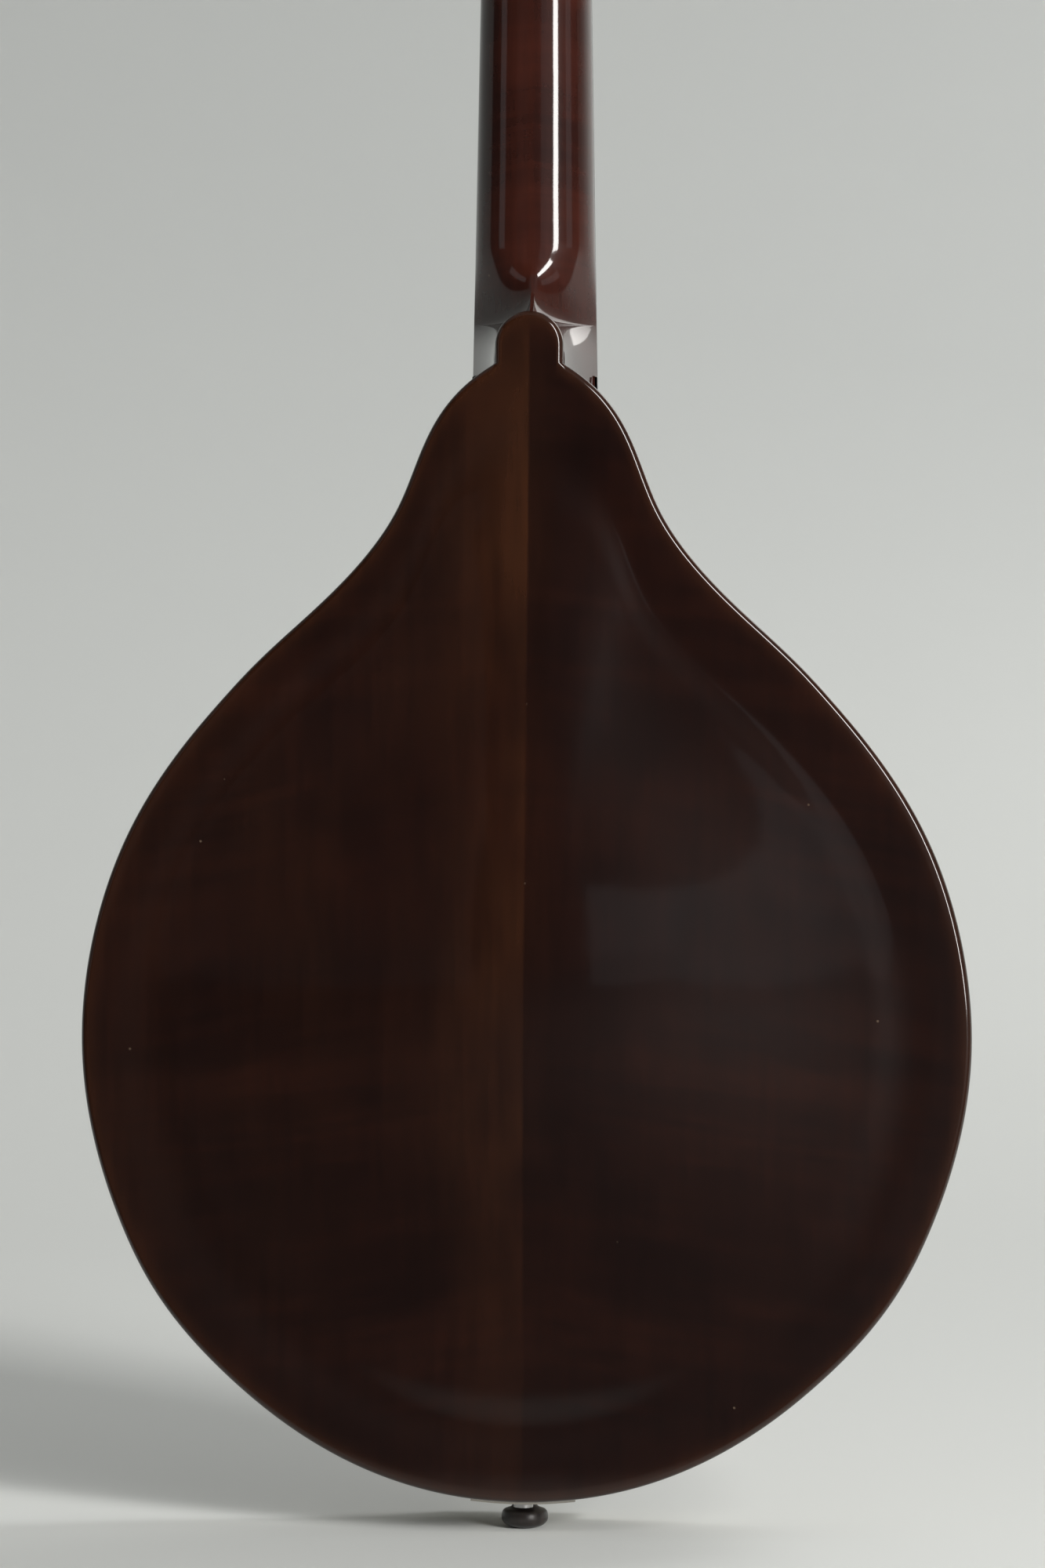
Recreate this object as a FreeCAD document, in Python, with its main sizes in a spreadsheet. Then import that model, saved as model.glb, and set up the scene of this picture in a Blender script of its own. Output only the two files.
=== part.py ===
"""Carved-top, teardrop-bodied mandolin with eight strings in four pairs, as a parametric assembly.

The instrument stands upright on its end pin.  +Z runs up the neck, the carved top faces -Y, the carved
back faces +Y, and the origin is the tip of the end pin.  Bass pieces lie at -X, treble pieces at +X.
"""
import FreeCAD, Part
import Sketcher
import math
import os
import re
from bisect import bisect_left
from FreeCAD import Placement, Rotation, Vector

# ---------------------------------------------------------------- driving dimensions
# alias, value in millimetres or degrees (counts are plain), meaning
SIZES = (
    ("body_length", 325.0, "tail end of the body to the neck joint"),
    ("body_width", 254.0, "widest part of the body"),
    ("rim_depth", 41.0, "front edge to back edge of the body, plates included"),
    ("plate_thick", 4.0, "thickness of the carved top and back"),
    ("arch_top", 13.0, "rise of the top above its edge"),
    ("arch_back", 13.0, "rise of the back above its edge"),
    ("arch_centre", 0.43, "height of the arch's crown, as a share of the body's length"),
    ("recurve_dip", 0.5, "depth of the shallow trough inside the edge"),
    ("rib_thick", 2.0, "thickness of the bent sides"),
    ("lining_width", 5.5, "linings, in from the ribs"),
    ("lining_height", 7.0, "linings, down from the plate"),
    ("binding_width", 2.0, "top binding, in from the edge"),
    ("binding_height", 5.0, "top binding, down from the front face"),
    ("head_block_length", 36.0, "block inside the neck end"),
    ("tail_block_length", 18.0, "block inside the tail end"),
    ("tail_block_width", 60.0, "block inside the tail end, across"),
    ("button_width", 19.6, "tongue of the back that covers the heel"),
    ("button_length", 15.0, "tongue of the back beyond the neck joint"),
    ("hole_width", 54.0, "oval sound hole, across"),
    ("hole_height", 41.0, "oval sound hole, along"),
    ("hole_from_joint", 93.0, "neck joint down to the sound hole's centre"),
    ("rosette_gap", 4.5, "sound hole's edge to the inlaid ring"),
    ("rosette_width", 4.0, "width of the inlaid ring"),
    ("rosette_depth", 1.0, "depth of the inlaid ring"),
    ("brace_width", 8.0, "cross brace under the top"),
    ("brace_height", 11.0, "cross brace, below the top's inner face"),
    ("brace_length", 176.0, "cross brace, end to end"),
    ("brace_gap", 6.0, "sound hole's lower edge to the brace"),
    ("pin_head_d", 13.2, "end pin's head"),
    ("pin_head_h", 5.6, "end pin's head, along its axis"),
    ("pin_neck_d", 7.2, "end pin's waist"),
    ("pin_neck_h", 3.2, "end pin's waist, along its axis"),
    ("pin_shank_d", 6.4, "end pin inside the tail block"),
    ("pin_foot_d", 5.0, "small flat on the tip of the end pin"),
    ("neck_angle", 5.0, "degrees the neck leans back"),
    ("neck_rise", 4.0, "fingerboard's underside above the front edge at the joint"),
    ("scale_length", 353.0, "nut to bridge"),
    ("joint_fret", 12, "fret at the neck joint"),
    ("neck_width_nut", 30.0, "neck at the nut"),
    ("neck_width_joint", 36.6, "neck at the body"),
    ("neck_depth_nut", 13.0, "neck without its fingerboard, at the nut"),
    ("neck_depth_joint", 15.5, "neck without its fingerboard, near the body"),
    ("heel_sweep", 20.0, "length of the curve from the heel's tip to the shaft"),
    ("tenon_width", 16.0, "dovetail at the joint"),
    ("tenon_length", 16.0, "dovetail, into the block"),
    ("tenon_flare", 2.0, "extra half width at the dovetail's far end"),
    ("board_thick", 5.0, "fingerboard"),
    ("board_end", 3.5, "fingerboard beyond its last fret"),
    ("fret_count", 20, "frets"),
    ("fret_height", 0.95, "fret crown above the board"),
    ("fret_width", 1.7, "fret crown"),
    ("tang_depth", 1.6, "fret tang in its slot"),
    ("tang_width", 0.55, "fret tang"),
    ("dot_d", 5.2, "position dot"),
    ("dot_depth", 1.0, "position dot, into the board"),
    ("riser_inset", 0.6, "support under the board's end, in from the board's edge"),
    ("nut_thick", 4.5, "nut, along the neck"),
    ("nut_above_string", 0.1, "nut and saddle above the strings' centres"),
    ("string_over_fret", 0.75, "strings' centres above the first fret's crown"),
    ("head_angle", 15.0, "degrees the peghead leans back from the neck"),
    ("head_length", 146.0, "peghead, from the nut"),
    ("head_width_low", 60.0, "peghead above its shoulders"),
    ("head_width_top", 67.0, "peghead near its crown"),
    ("head_thick", 13.0, "peghead without its veneer"),
    ("veneer_thick", 1.5, "peghead veneer"),
    ("first_post", 32.0, "first tuner post, from the nut"),
    ("post_pitch", 23.4, "tuner post to tuner post"),
    ("post_row", 37.0, "between the two rows of posts"),
    ("post_d", 6.0, "tuner post"),
    ("post_height", 12.0, "tuner post above the veneer"),
    ("post_end_d", 4.0, "post's end that carries the gear"),
    ("bushing_d", 9.0, "bushing in the peghead"),
    ("bushing_h", 6.0, "bushing in the peghead, below the veneer's face"),
    ("bushing_flange_d", 10.6, "bushing's flange"),
    ("bushing_flange_h", 0.8, "bushing's flange"),
    ("running_gap", 0.05, "clearance between turning metal and its bore, on the radius"),
    ("tuner_plate_width", 13.0, "tuner base plate"),
    ("tuner_plate_thick", 1.2, "tuner base plate"),
    ("gear_d", 9.6, "tuner gear"),
    ("gear_thick", 3.0, "tuner gear"),
    ("gear_teeth", 14, "teeth on the gear: knob turns to one turn of the post"),
    ("tooth_depth", 0.9, "gear tooth"),
    ("gear_screw_d", 5.0, "head of the screw that holds the gear"),
    ("worm_d", 5.4, "worm"),
    ("worm_length", 8.0, "worm"),
    ("worm_gap", 0.1, "between worm and gear, and between worm and plate"),
    ("shaft_d", 3.2, "worm shaft"),
    ("ear_gap", 5.2, "centre of the worm to the centre of each ear"),
    ("ear_thick", 1.2, "ear of the tuner plate"),
    ("ear_width", 6.8, "ear of the tuner plate, along the peghead"),
    ("knob_reach", 3.5, "peghead's widest edge to the button"),
    ("knob_length", 13.0, "tuner button, along its shaft"),
    ("knob_width", 14.5, "tuner button, across"),
    ("knob_thick", 6.4, "tuner button"),
    ("plate_screw_d", 4.6, "head of a tuner plate screw"),
    ("plate_screw_shank", 2.2, "shank of a tuner plate screw"),
    ("plate_screw_length", 9.0, "tuner plate screw, below its head"),
    ("plate_screw_drop", 14.0, "lowest tuner plate screw, below the first post"),
    ("plate_screw_rise", 9.2, "every other tuner plate screw, above its post"),
    ("plate_below", 17.0, "tuner base plate, below the first post"),
    ("plate_above", 13.4, "tuner base plate, above the last post"),
    ("truss_rod_d", 4.8, "truss rod"),
    ("truss_rod_below", 7.0, "truss rod's axis below the fingerboard"),
    ("truss_nut_d", 7.6, "truss rod nut, across its corners"),
    ("truss_nut_length", 9.0, "truss rod nut"),
    ("truss_nut_start", 7.0, "truss rod nut, from the back of the string nut"),
    ("truss_cover_start", 3.0, "truss rod cover, from the back of the string nut"),
    ("truss_cover_width", 19.0, "truss rod cover"),
    ("truss_cover_length", 30.0, "truss rod cover"),
    ("truss_cover_thick", 1.3, "truss rod cover"),
    ("cover_screw_d", 3.6, "head of a cover screw"),
    ("bridge_height", 15.5, "strings' centres above the top at the bridge"),
    ("bridge_foot", 108.0, "bridge base, end to end"),
    ("bridge_base_thick", 6.0, "bridge base at its middle"),
    ("bridge_base_width", 10.0, "bridge base, along the strings"),
    ("saddle_length", 70.0, "bridge saddle, end to end"),
    ("saddle_width", 6.0, "bridge saddle, along the strings"),
    ("stud_spacing", 56.0, "between the two bridge studs"),
    ("stud_d", 3.2, "bridge stud"),
    ("wheel_d", 12.5, "bridge thumbwheel"),
    ("wheel_thick", 2.4, "bridge thumbwheel"),
    ("wheel_gap", 1.4, "thumbwheel above the bridge base"),
    ("nut_spread", 22.4, "outer pair to outer pair at the nut"),
    ("bridge_spread", 38.0, "outer pair to outer pair at the bridge"),
    ("pair_gap_nut", 2.2, "string to string in a pair, at the nut"),
    ("pair_gap_bridge", 2.8, "string to string in a pair, at the bridge"),
    ("tail_hook_pitch", 4.2, "hook to hook on the tailpiece"),
    ("tailpiece_thick", 1.2, "tailpiece metal"),
    ("tailpiece_width", 40.0, "tailpiece over the top"),
    ("tailpiece_length", 52.0, "tailpiece over the top, from the tail"),
    ("tailpiece_rise", 6.0, "degrees the tailpiece rises over the top"),
    ("tailpiece_over_edge", 1.4, "tailpiece above the front edge"),
    ("tail_strap_width", 30.0, "tailpiece on the tail end"),
    ("hook_from_tail", 43.0, "string hooks, from the tail"),
    ("hook_height", 3.4, "string hook above the tailpiece"),
    ("hook_d", 1.8, "string hook"),
    ("tail_cover_height", 7.0, "tailpiece cover above the tailpiece"),
    ("tail_cover_wall", 0.8, "tailpiece cover's metal"),
    ("cover_clearance", 0.35, "tailpiece cover to the tailpiece"),
    ("tail_screw_d", 5.6, "head of a tailpiece screw"),
    ("tail_screw_shank", 2.6, "shank of a tailpiece screw"),
    ("tail_screw_depth", 15.0, "tailpiece screw, below its head"),
)

# Courses, bass to treble: name, string diameter, side (-1 bass, +1 treble), first post counted from the nut,
# and turns wound on the post
COURSES = (
    ("g", 1.02, -1, 0, 3),
    ("d", 0.66, -1, 2, 4),
    ("a", 0.38, 1, 2, 5),
    ("e", 0.28, 1, 0, 6),
)

# Half outline of the body as poles of a cubic B-spline, from the tail's middle to the neck joint:
# (share of the half width, share of the length).  The last pole is the corner of the heel button.
OUTLINE = (
    (0.000, 0.000), (0.315, 0.000), (0.740, 0.117), (0.921, 0.234), (1.039, 0.400),
    (0.929, 0.594), (0.661, 0.717), (0.575, 0.751), (0.244, 0.865), (0.236, 0.963),
)

doc = FreeCAD.newDocument("mandolin")
sheet = doc.addObject("Spreadsheet::Sheet", "sizes")
for row, (alias, value, meaning) in enumerate(SIZES, start=1):
    sheet.set(f"A{row}", meaning)
    sheet.set(f"B{row}", str(value))
    sheet.setAlias(f"B{row}", alias)
doc.recompute()
ALIASES = {alias for alias, _, _ in SIZES}


class Cells:
    """Reads a driving dimension from the spreadsheet by its alias."""

    def __getattr__(self, alias):
        return float(sheet.get(alias))


dim = Cells()
nodes = {}


# ---------------------------------------------------------------- derived places and frames
X = Vector(1, 0, 0)
UP = Vector(0, 0, 1)
FAR = 400.0        # longer than the body in any direction, for cutting tools
tail_z = dim.pin_head_h + dim.pin_neck_h + dim.tailpiece_thick
joint_z = tail_z + dim.body_length
front = dim.rim_depth / 2
arch_z = tail_z + dim.arch_centre * dim.body_length
nut_v = dim.scale_length * (1 - 2 ** (-dim.joint_fret / 12))
board_low_v = nut_v - dim.scale_length * (1 - 2 ** (-dim.fret_count / 12)) - dim.board_end

# body frame: x across, y up the body, z out of the front
BODY = Placement(Vector(0, 0, 0), Rotation(X, 90))
# neck frame: origin on the neck's gluing face at the joint, y up the neck, z out of the fingerboard
NECK = Placement(Vector(0, -(front + dim.neck_rise), joint_z), Rotation(X, 90 - dim.neck_angle))
# peghead frame: origin behind the nut, y up the peghead, z out of its face
HEAD = NECK * Placement(Vector(0, nut_v + dim.nut_thick, 0), Rotation(X, -dim.head_angle))
# tailpiece frame: origin at the tail over the front edge, y up the tailpiece, z away from the top
TAIL = BODY * Placement(Vector(0, tail_z, front + dim.tailpiece_over_edge), Rotation(X, dim.tailpiece_rise))


def placed(shape, frame):
    """A copy of a shape, moved from a local frame to the model's frame."""
    moved = shape.copy()
    moved.Placement = frame * moved.Placement
    return moved


def into(frame, point, source):
    """A point of one frame, in another frame's coordinates."""
    return frame.inverse().multVec(source.multVec(point))


def keep(label, obj, frame=None):
    """Names an object as a finished piece and puts it in its frame."""
    obj.Label = label
    if frame is not None:
        obj.Placement = frame
    nodes[label] = obj
    return obj


def feature(label, shape, frame=None):
    """A finished piece whose shape is worked out by Part's own functions."""
    obj = doc.addObject("Part::Feature", label)
    obj.Shape = shape
    return keep(label, obj, frame or Placement())


def bound(text):
    """An expression with each alias pointed at the spreadsheet."""
    return re.sub(r"[a-z][a-z_]+", lambda m: f"sizes.{m[0]}" if m[0] in ALIASES else m[0], text)


def bind(obj, **cells):
    """Binds properties to spreadsheet expressions; a double underscore stands for a dot."""
    for name, text in cells.items():
        obj.setExpression(name.replace("__", "."), bound(text))
    return obj


def box(name, length, width, height, x="0", y="0", z="0"):
    """A Part::Box whose size and corner are expressions."""
    obj = bind(doc.addObject("Part::Box", name), Length=length, Width=width, Height=height)
    return bind(obj, Placement__Base__x=x, Placement__Base__y=y, Placement__Base__z=z)


def cylinder(name, radius, height, x="0", y="0", z="0", along="z"):
    """A Part::Cylinder whose size and foot are expressions, along z, x, -x or y."""
    turn = {"z": Rotation(), "x": Rotation(Vector(0, 1, 0), 90), "-x": Rotation(Vector(0, 1, 0), -90),
            "y": Rotation(X, -90)}[along]
    obj = bind(doc.addObject("Part::Cylinder", name), Radius=radius, Height=height)
    obj.Placement = Placement(Vector(), turn)
    return bind(obj, Placement__Base__x=x, Placement__Base__y=y, Placement__Base__z=z)


def cut(name, base, *tools):
    """A Part::Cut of one object by one or more others."""
    obj = doc.addObject("Part::Cut", name)
    obj.Base = base
    obj.Tool = tools[0] if len(tools) == 1 else fuse(name + "_tools", *tools)
    return obj


def fuse(name, *parts):
    """A Part::MultiFuse of several objects."""
    obj = doc.addObject("Part::MultiFuse", name)
    obj.Shapes = list(parts)
    return obj


def compound(name, *parts):
    """A Part::Compound that holds several separate solids as one piece."""
    obj = doc.addObject("Part::Compound", name)
    obj.Links = list(parts)
    return obj


def profile_body(name, points, plane="XY_Plane"):
    """A PartDesign body with one closed sketch of straight lines through points given as expressions."""
    body = doc.addObject("PartDesign::Body", name)
    sketch = body.newObject("Sketcher::SketchObject", name + "_sketch")
    support = next(f for f in body.Origin.OriginFeatures if f.Role == plane)
    sketch.AttachmentSupport = [(support, "")]
    sketch.MapMode = "FlatFace"
    values = [tuple(number(text) for text in point) for point in points]
    ends = values[1:] + values[:1]
    for (x0, y0), (x1, y1) in zip(values, ends):
        sketch.addGeometry(Part.LineSegment(Vector(x0, y0, 0), Vector(x1, y1, 0)), False)
    for i in range(len(points)):
        sketch.addConstraint(Sketcher.Constraint("Coincident", i, 2, (i + 1) % len(points), 1))
    for i, (point, value) in enumerate(zip(points, values)):
        for kind, axis, text, now in (("DistanceX", -2, point[0], value[0]),
                                      ("DistanceY", -1, point[1], value[1])):
            if text == "0":
                sketch.addConstraint(Sketcher.Constraint("PointOnObject", i, 1, axis))
                continue
            at = sketch.addConstraint(Sketcher.Constraint(kind, -1, 1, i, 1, now))
            sketch.setExpression(f"Constraints[{at}]", bound(text))
    return body, sketch


gauge = doc.addObject("App::FeaturePython", "gauge")
gauge.addProperty("App::PropertyFloat", "Reading")


def number(text):
    """The present value of an expression of aliases."""
    gauge.setExpression("Reading", bound(text))
    gauge.recompute()
    return gauge.Reading


# ---------------------------------------------------------------- the outline
def rim_curve():
    """The treble half of the outline in the body frame, from the tail's middle to the neck joint."""
    half = dim.body_width / 2
    poles = [Vector(across * half, tail_z + up * dim.body_length, 0) for across, up in OUTLINE]
    poles.append(Vector(dim.button_width / 2, joint_z, 0))
    spans = len(poles) - 3
    knots = [i / spans for i in range(spans + 1)]
    curve = Part.BSplineCurve()
    curve.buildFromPolesMultsKnots(poles, [4] + [1] * (spans - 1) + [4], knots, False, 3)
    return curve


RIM = rim_curve()
RIM_STEPS = 64


def rim_points(inset=0.0):
    """Points of the treble half outline moved inwards, stopped short of the neck joint by the inset."""
    points = []
    for i in range(RIM_STEPS + 1):
        along = RIM.tangent(i / RIM_STEPS)[0]
        point = RIM.value(i / RIM_STEPS) + Vector(-along.y, along.x, 0) * inset
        if point.y > joint_z - inset and inset > 0:
            before = points[-1]
            share = (joint_z - inset - before.y) / (point.y - before.y)
            points.append(before + (point - before) * share)
            break
        points.append(point)
    return points


def rim_edge(side, inset=0.0):
    """Half the outline as one smooth edge on the bass (-1) or treble (+1) side."""
    points = [Vector(side * p.x, p.y, 0) for p in rim_points(inset)]
    finish = (points[-1] - points[-2]).normalize()
    curve = Part.BSplineCurve()
    curve.interpolate(Points=points, InitialTangent=Vector(side, 0, 0), FinalTangent=finish)
    return curve.toShape()


def half_face(side, inset=0.0, button=False):
    """Half of the outline as a flat face closed along the centre line, with or without the heel button."""
    edge = rim_edge(side, inset)
    start, corner = edge.valueAt(edge.FirstParameter), edge.valueAt(edge.LastParameter)
    edges = [edge]
    if button:
        r = dim.button_width / 2
        turn_y = joint_z + dim.button_length - r
        shoulder, tip = Vector(side * r, turn_y, 0), Vector(0, turn_y + r, 0)
        middle = Vector(side * r * math.sin(math.pi / 4), turn_y + r * math.cos(math.pi / 4), 0)
        edges += [Part.makeLine(corner, shoulder), Part.Arc(shoulder, middle, tip).toShape()]
        corner = tip
    else:
        edges.append(Part.makeLine(corner, Vector(0, corner.y, 0)))
        corner = Vector(0, corner.y, 0)
    edges.append(Part.makeLine(corner, start))
    return Part.Face(Part.Wire(edges))


def full_face(inset=0.0):
    """The whole outline as a flat face, closed across the neck joint."""
    treble, bass = rim_edge(1, inset), rim_edge(-1, inset)
    across_joint = Part.makeLine(treble.valueAt(treble.LastParameter), bass.valueAt(bass.LastParameter))
    return Part.Face(Part.Wire([treble, across_joint, bass]))


def prism(face, low, high):
    """A flat face made solid between two levels of its frame."""
    solid = face.copy()
    solid.translate(Vector(0, 0, low))
    return solid.extrude(Vector(0, 0, high - low))


def block(x0, x1, y0, y1, z0, z1):
    """A box between two corners."""
    return Part.makeBox(x1 - x0, y1 - y0, z1 - z0, Vector(x0, y0, z0))


def one_solid(shape):
    """The largest solid of a boolean's result."""
    return max(shape.Solids, key=lambda solid: solid.Volume)


# ---------------------------------------------------------------- the carved arches
ARCH_FOOT = 0.93          # share of the way to the edge at which the arch has run out
ARCH_BLEND = (0.2, 0.8)   # where the arch's contours turn from an ellipse into the outline
TROUGH = (0.85, 0.08)     # middle and half width of the recurve


def smooth(t):
    """A step from 0 to 1 with level ends."""
    t = min(max(t, 0.0), 1.0)
    return t * t * (3 - 2 * t)


def polar_rim():
    """The outline about the arch's crown: angles from the neck's direction, and the radius at each."""
    rim = [Vector(0, joint_z, 0)] + rim_points()[::-1]
    angles = [math.atan2(p.x, p.y - arch_z) for p in rim]
    return angles, [math.hypot(p.x, p.y - arch_z) for p in rim]


RIM_ANGLES, RIM_RADII = polar_rim()


def edge_share(x, y):
    """How far a point lies from the crown towards the edge: 0 at the crown, 1 on the outline."""
    angle = math.atan2(abs(x), y - arch_z)
    i = min(max(bisect_left(RIM_ANGLES, angle), 1), len(RIM_ANGLES) - 1)
    t = (angle - RIM_ANGLES[i - 1]) / (RIM_ANGLES[i] - RIM_ANGLES[i - 1])
    radius = RIM_RADII[i - 1] + (RIM_RADII[i] - RIM_RADII[i - 1]) * t
    by_rim = math.hypot(x, y - arch_z) / radius
    by_ellipse = math.hypot(x / (dim.body_width / 2), (y - arch_z) / (dim.body_length / 2))
    weight = smooth((by_rim - ARCH_BLEND[0]) / (ARCH_BLEND[1] - ARCH_BLEND[0]))
    return (1 - weight) * by_ellipse + weight * by_rim


def arch_height(x, y, rise):
    """Height of a carved plate's outer face above its edge."""
    share = edge_share(x, y)
    bell = math.cos(math.pi / 2 * min(share / ARCH_FOOT, 1.0)) ** 2
    trough = math.cos(math.pi / 2 * min(abs(share - TROUGH[0]) / TROUGH[1], 1.0)) ** 2
    return rise * bell - dim.recurve_dip * trough


def arched_face(rise, sign):
    """A carved plate's outer face in the body frame, carried past the outline on all sides."""
    columns, rows, margin = 43, 55, 24.0
    wide = dim.body_width / 2 + margin
    low, high = tail_z - margin, joint_z + dim.button_length + margin
    xs = [-wide + 2 * wide * i / (columns - 1) for i in range(columns)]
    ys = [low + (high - low) * i / (rows - 1) for i in range(rows)]
    poles = [[Vector(x, y, sign * (front + arch_height(x, y, rise))) for y in ys] for x in xs]
    surface = Part.BSplineSurface()
    u_mults, v_mults = [4] + [1] * (columns - 4) + [4], [4] + [1] * (rows - 4) + [4]
    surface.buildFromPolesMultsKnots(poles, u_mults, v_mults, list(range(len(u_mults))),
                                     list(range(len(v_mults))), False, False, 3, 3)
    return surface.toShape()


def layer(face, start, finish):
    """The solid swept by a face between two shifts along z."""
    moved = face.copy()
    moved.translate(Vector(0, 0, start))
    return moved.extrude(Vector(0, 0, finish - start))


TOP_FACE = arched_face(dim.arch_top, 1)
BACK_FACE = arched_face(dim.arch_back, -1)
OVER_TOP = layer(TOP_FACE, -dim.plate_thick, 60)        # all that lies above the top's inner face
UNDER_TOP = layer(TOP_FACE, 0, -60)                     # all that lies below the top's outer face
BEHIND_BACK = layer(BACK_FACE, dim.plate_thick, -60)    # all that lies behind the back's inner face
hole_y = joint_z - dim.hole_from_joint


def between_plates(shape):
    """A shape trimmed to the inner faces of the top and the back."""
    return shape.cut(OVER_TOP).cut(BEHIND_BACK)


def hole_prism(gap, low, high):
    """An upright oval prism around the sound hole, larger than it by a gap."""
    major = dim.hole_width / 2 + gap
    minor = dim.hole_height / 2 + gap
    oval = Part.Ellipse(Vector(0, hole_y, 0), max(major, minor), min(major, minor)).toShape()
    if minor > major:
        oval.rotate(Vector(0, hole_y, 0), Vector(0, 0, 1), 90)
    return prism(Part.Face(Part.Wire([oval])), low, high)


# ---------------------------------------------------------------- the body
def make_plates():
    """Carved top and back in book-matched halves, with the ring inlaid around the sound hole."""
    ring = hole_prism(dim.rosette_gap + dim.rosette_width, 0, FAR).cut(hole_prism(dim.rosette_gap, 0, FAR))
    recess = ring.common(layer(TOP_FACE, -dim.rosette_depth, 20))
    top = layer(TOP_FACE, 0, -dim.plate_thick)
    back = layer(BACK_FACE, 0, dim.plate_thick)
    for name, side in (("bass", -1), ("treble", 1)):
        outer = half_face(side)
        edging = prism(outer, 0, 60).cut(prism(half_face(side, dim.binding_width), 0, 60))
        half = top.common(prism(outer, 0, 60)).cut(edging).cut(hole_prism(0, 0, FAR)).cut(recess)
        feature(f"top_{name}_half", one_solid(half), BODY)
        half = back.common(prism(half_face(side, button=True), -60, 0))
        feature(f"back_{name}_half", one_solid(half), BODY)
    feature("soundhole_rosette", one_solid(ring.common(layer(TOP_FACE, 0, -dim.rosette_depth))), BODY)


def make_sides(tenon, pin_hole):
    """Bent ribs, kerfed linings and the binding around the top."""
    lip = front - dim.binding_height
    linings = {"top": [], "back": []}
    binding = []
    for name, side in (("bass", -1), ("treble", 1)):
        outer, inner = half_face(side), half_face(side, dim.rib_thick)
        edging = prism(outer, lip, 60).cut(prism(half_face(side, dim.binding_width), lip, 60))
        rib = between_plates(prism(outer, -60, 60).cut(prism(inner, -60, 60)))
        feature(f"rib_{name}", one_solid(rib.cut(edging).cut(tenon).cut(pin_hole)), BODY)
        binding.append(edging.cut(prism(outer, front, 61)).cut(tenon))
        strip = prism(inner, -60, 60).cut(prism(half_face(side, dim.rib_thick + dim.lining_width), -60, 60))
        strip = strip.cut(block(-FAR, FAR, joint_z - dim.head_block_length, FAR * 2, -60, 60))
        half_tail = dim.tail_block_width / 2
        strip = strip.cut(block(-half_tail, half_tail, 0, tail_z + dim.tail_block_length, -60, 60))
        depth = front - dim.plate_thick - dim.lining_height
        linings["top"].append(one_solid(strip.cut(OVER_TOP).cut(block(-FAR, FAR, 0, FAR * 2, -60, depth))))
        linings["back"].append(one_solid(strip.cut(BEHIND_BACK).cut(block(-FAR, FAR, 0, FAR * 2, -depth, 60))))
    feature("top_linings", Part.makeCompound(linings["top"]), BODY)
    feature("back_linings", Part.makeCompound(linings["back"]), BODY)
    feature("top_binding", one_solid(binding[0].fuse(binding[1]).removeSplitter()), BODY)


def tail_drills():
    """Holes in the tail end for the end pin and the tailpiece's two screws, in the body frame."""
    pin = Part.makeCylinder(dim.pin_shank_d / 2, 60, Vector(0, 0, 0), Vector(0, 1, 0))
    return [pin] + [Part.makeCylinder(dim.tail_screw_shank / 2, dim.tail_screw_depth,
                                      Vector(0, tail_z - dim.tailpiece_thick, f), Vector(0, 1, 0))
                    for f in tail_screw_levels()]


def tail_screw_levels():
    """Places of the tailpiece's screws, in front of and behind the end pin."""
    return (dim.rim_depth * 0.27, -dim.rim_depth * 0.25)


def make_blocks(tenon):
    """Blocks at both ends of the body, and the brace across the top below the sound hole."""
    cavity = feature("cavity", one_solid(between_plates(prism(full_face(dim.rib_thick), -50, 50))), BODY)
    nodes.pop("cavity")
    socket = feature("neck_socket", tenon, BODY)
    nodes.pop("neck_socket")
    tail = "pin_head_h+pin_neck_h+tailpiece_thick"
    joint = tail + "+body_length"
    stock = box("neck_block_stock", "120", "120", "rim_depth", "-60",
                "-rim_depth/2", joint + "-head_block_length")
    shaped = trimmed("neck_block_shape", stock, cavity)
    keep("neck_block", cut("neck_block", shaped, socket))
    stock = box("tail_block_stock", "tail_block_width", "rim_depth", "tail_block_length+" + tail,
                "-tail_block_width/2", "-rim_depth/2", "0")
    shaped = trimmed("tail_block_shape", stock, cavity)
    drills = feature("tail_drills", Part.makeCompound(tail_drills()), BODY)
    nodes.pop("tail_drills")
    keep("tail_block", cut("tail_block", shaped, drills))
    brace_y = joint + "-hole_from_joint-hole_height/2-brace_gap-brace_width"
    crown = front - dim.plate_thick + arch_height(0, number(brace_y), dim.arch_top)
    stock = box("top_brace_stock", "brace_length", "60", "brace_width", "-brace_length/2",
                f"-({crown:.3f}-brace_height+60)", brace_y)
    keep("top_brace", trimmed("top_brace", stock, cavity))


def trimmed(name, stock, limit):
    """A Part::Common of stock with the space it has to fill."""
    obj = doc.addObject("Part::Common", name)
    obj.Base, obj.Tool = stock, limit
    return obj


def make_end_pin():
    """Turned end pin: a land around the head, a narrow waist and a shank in the tail block."""
    waist = "pin_head_h+pin_neck_h"
    profile = (("0", "0"), ("pin_foot_d/2", "0"), ("pin_head_d/2-0.8", "0.9"), ("pin_head_d/2", "pin_head_h*0.36"),
               ("pin_head_d/2", "pin_head_h*0.78"), ("pin_head_d/2-1.4", "pin_head_h"),
               ("pin_neck_d/2", "pin_head_h+0.4"), ("pin_neck_d/2", waist), ("pin_shank_d/2", waist),
               ("pin_shank_d/2", waist + "+tailpiece_thick+tail_block_length-1"),
               ("0", waist + "+tailpiece_thick+tail_block_length-1"))
    body, sketch = profile_body("end_pin", profile, "XZ_Plane")
    turned = body.newObject("PartDesign::Revolution", "end_pin_turning")
    turned.Profile = sketch
    turned.ReferenceAxis = (sketch, ["V_Axis"])
    turned.Angle = 360
    keep("end_pin", body)


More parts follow.
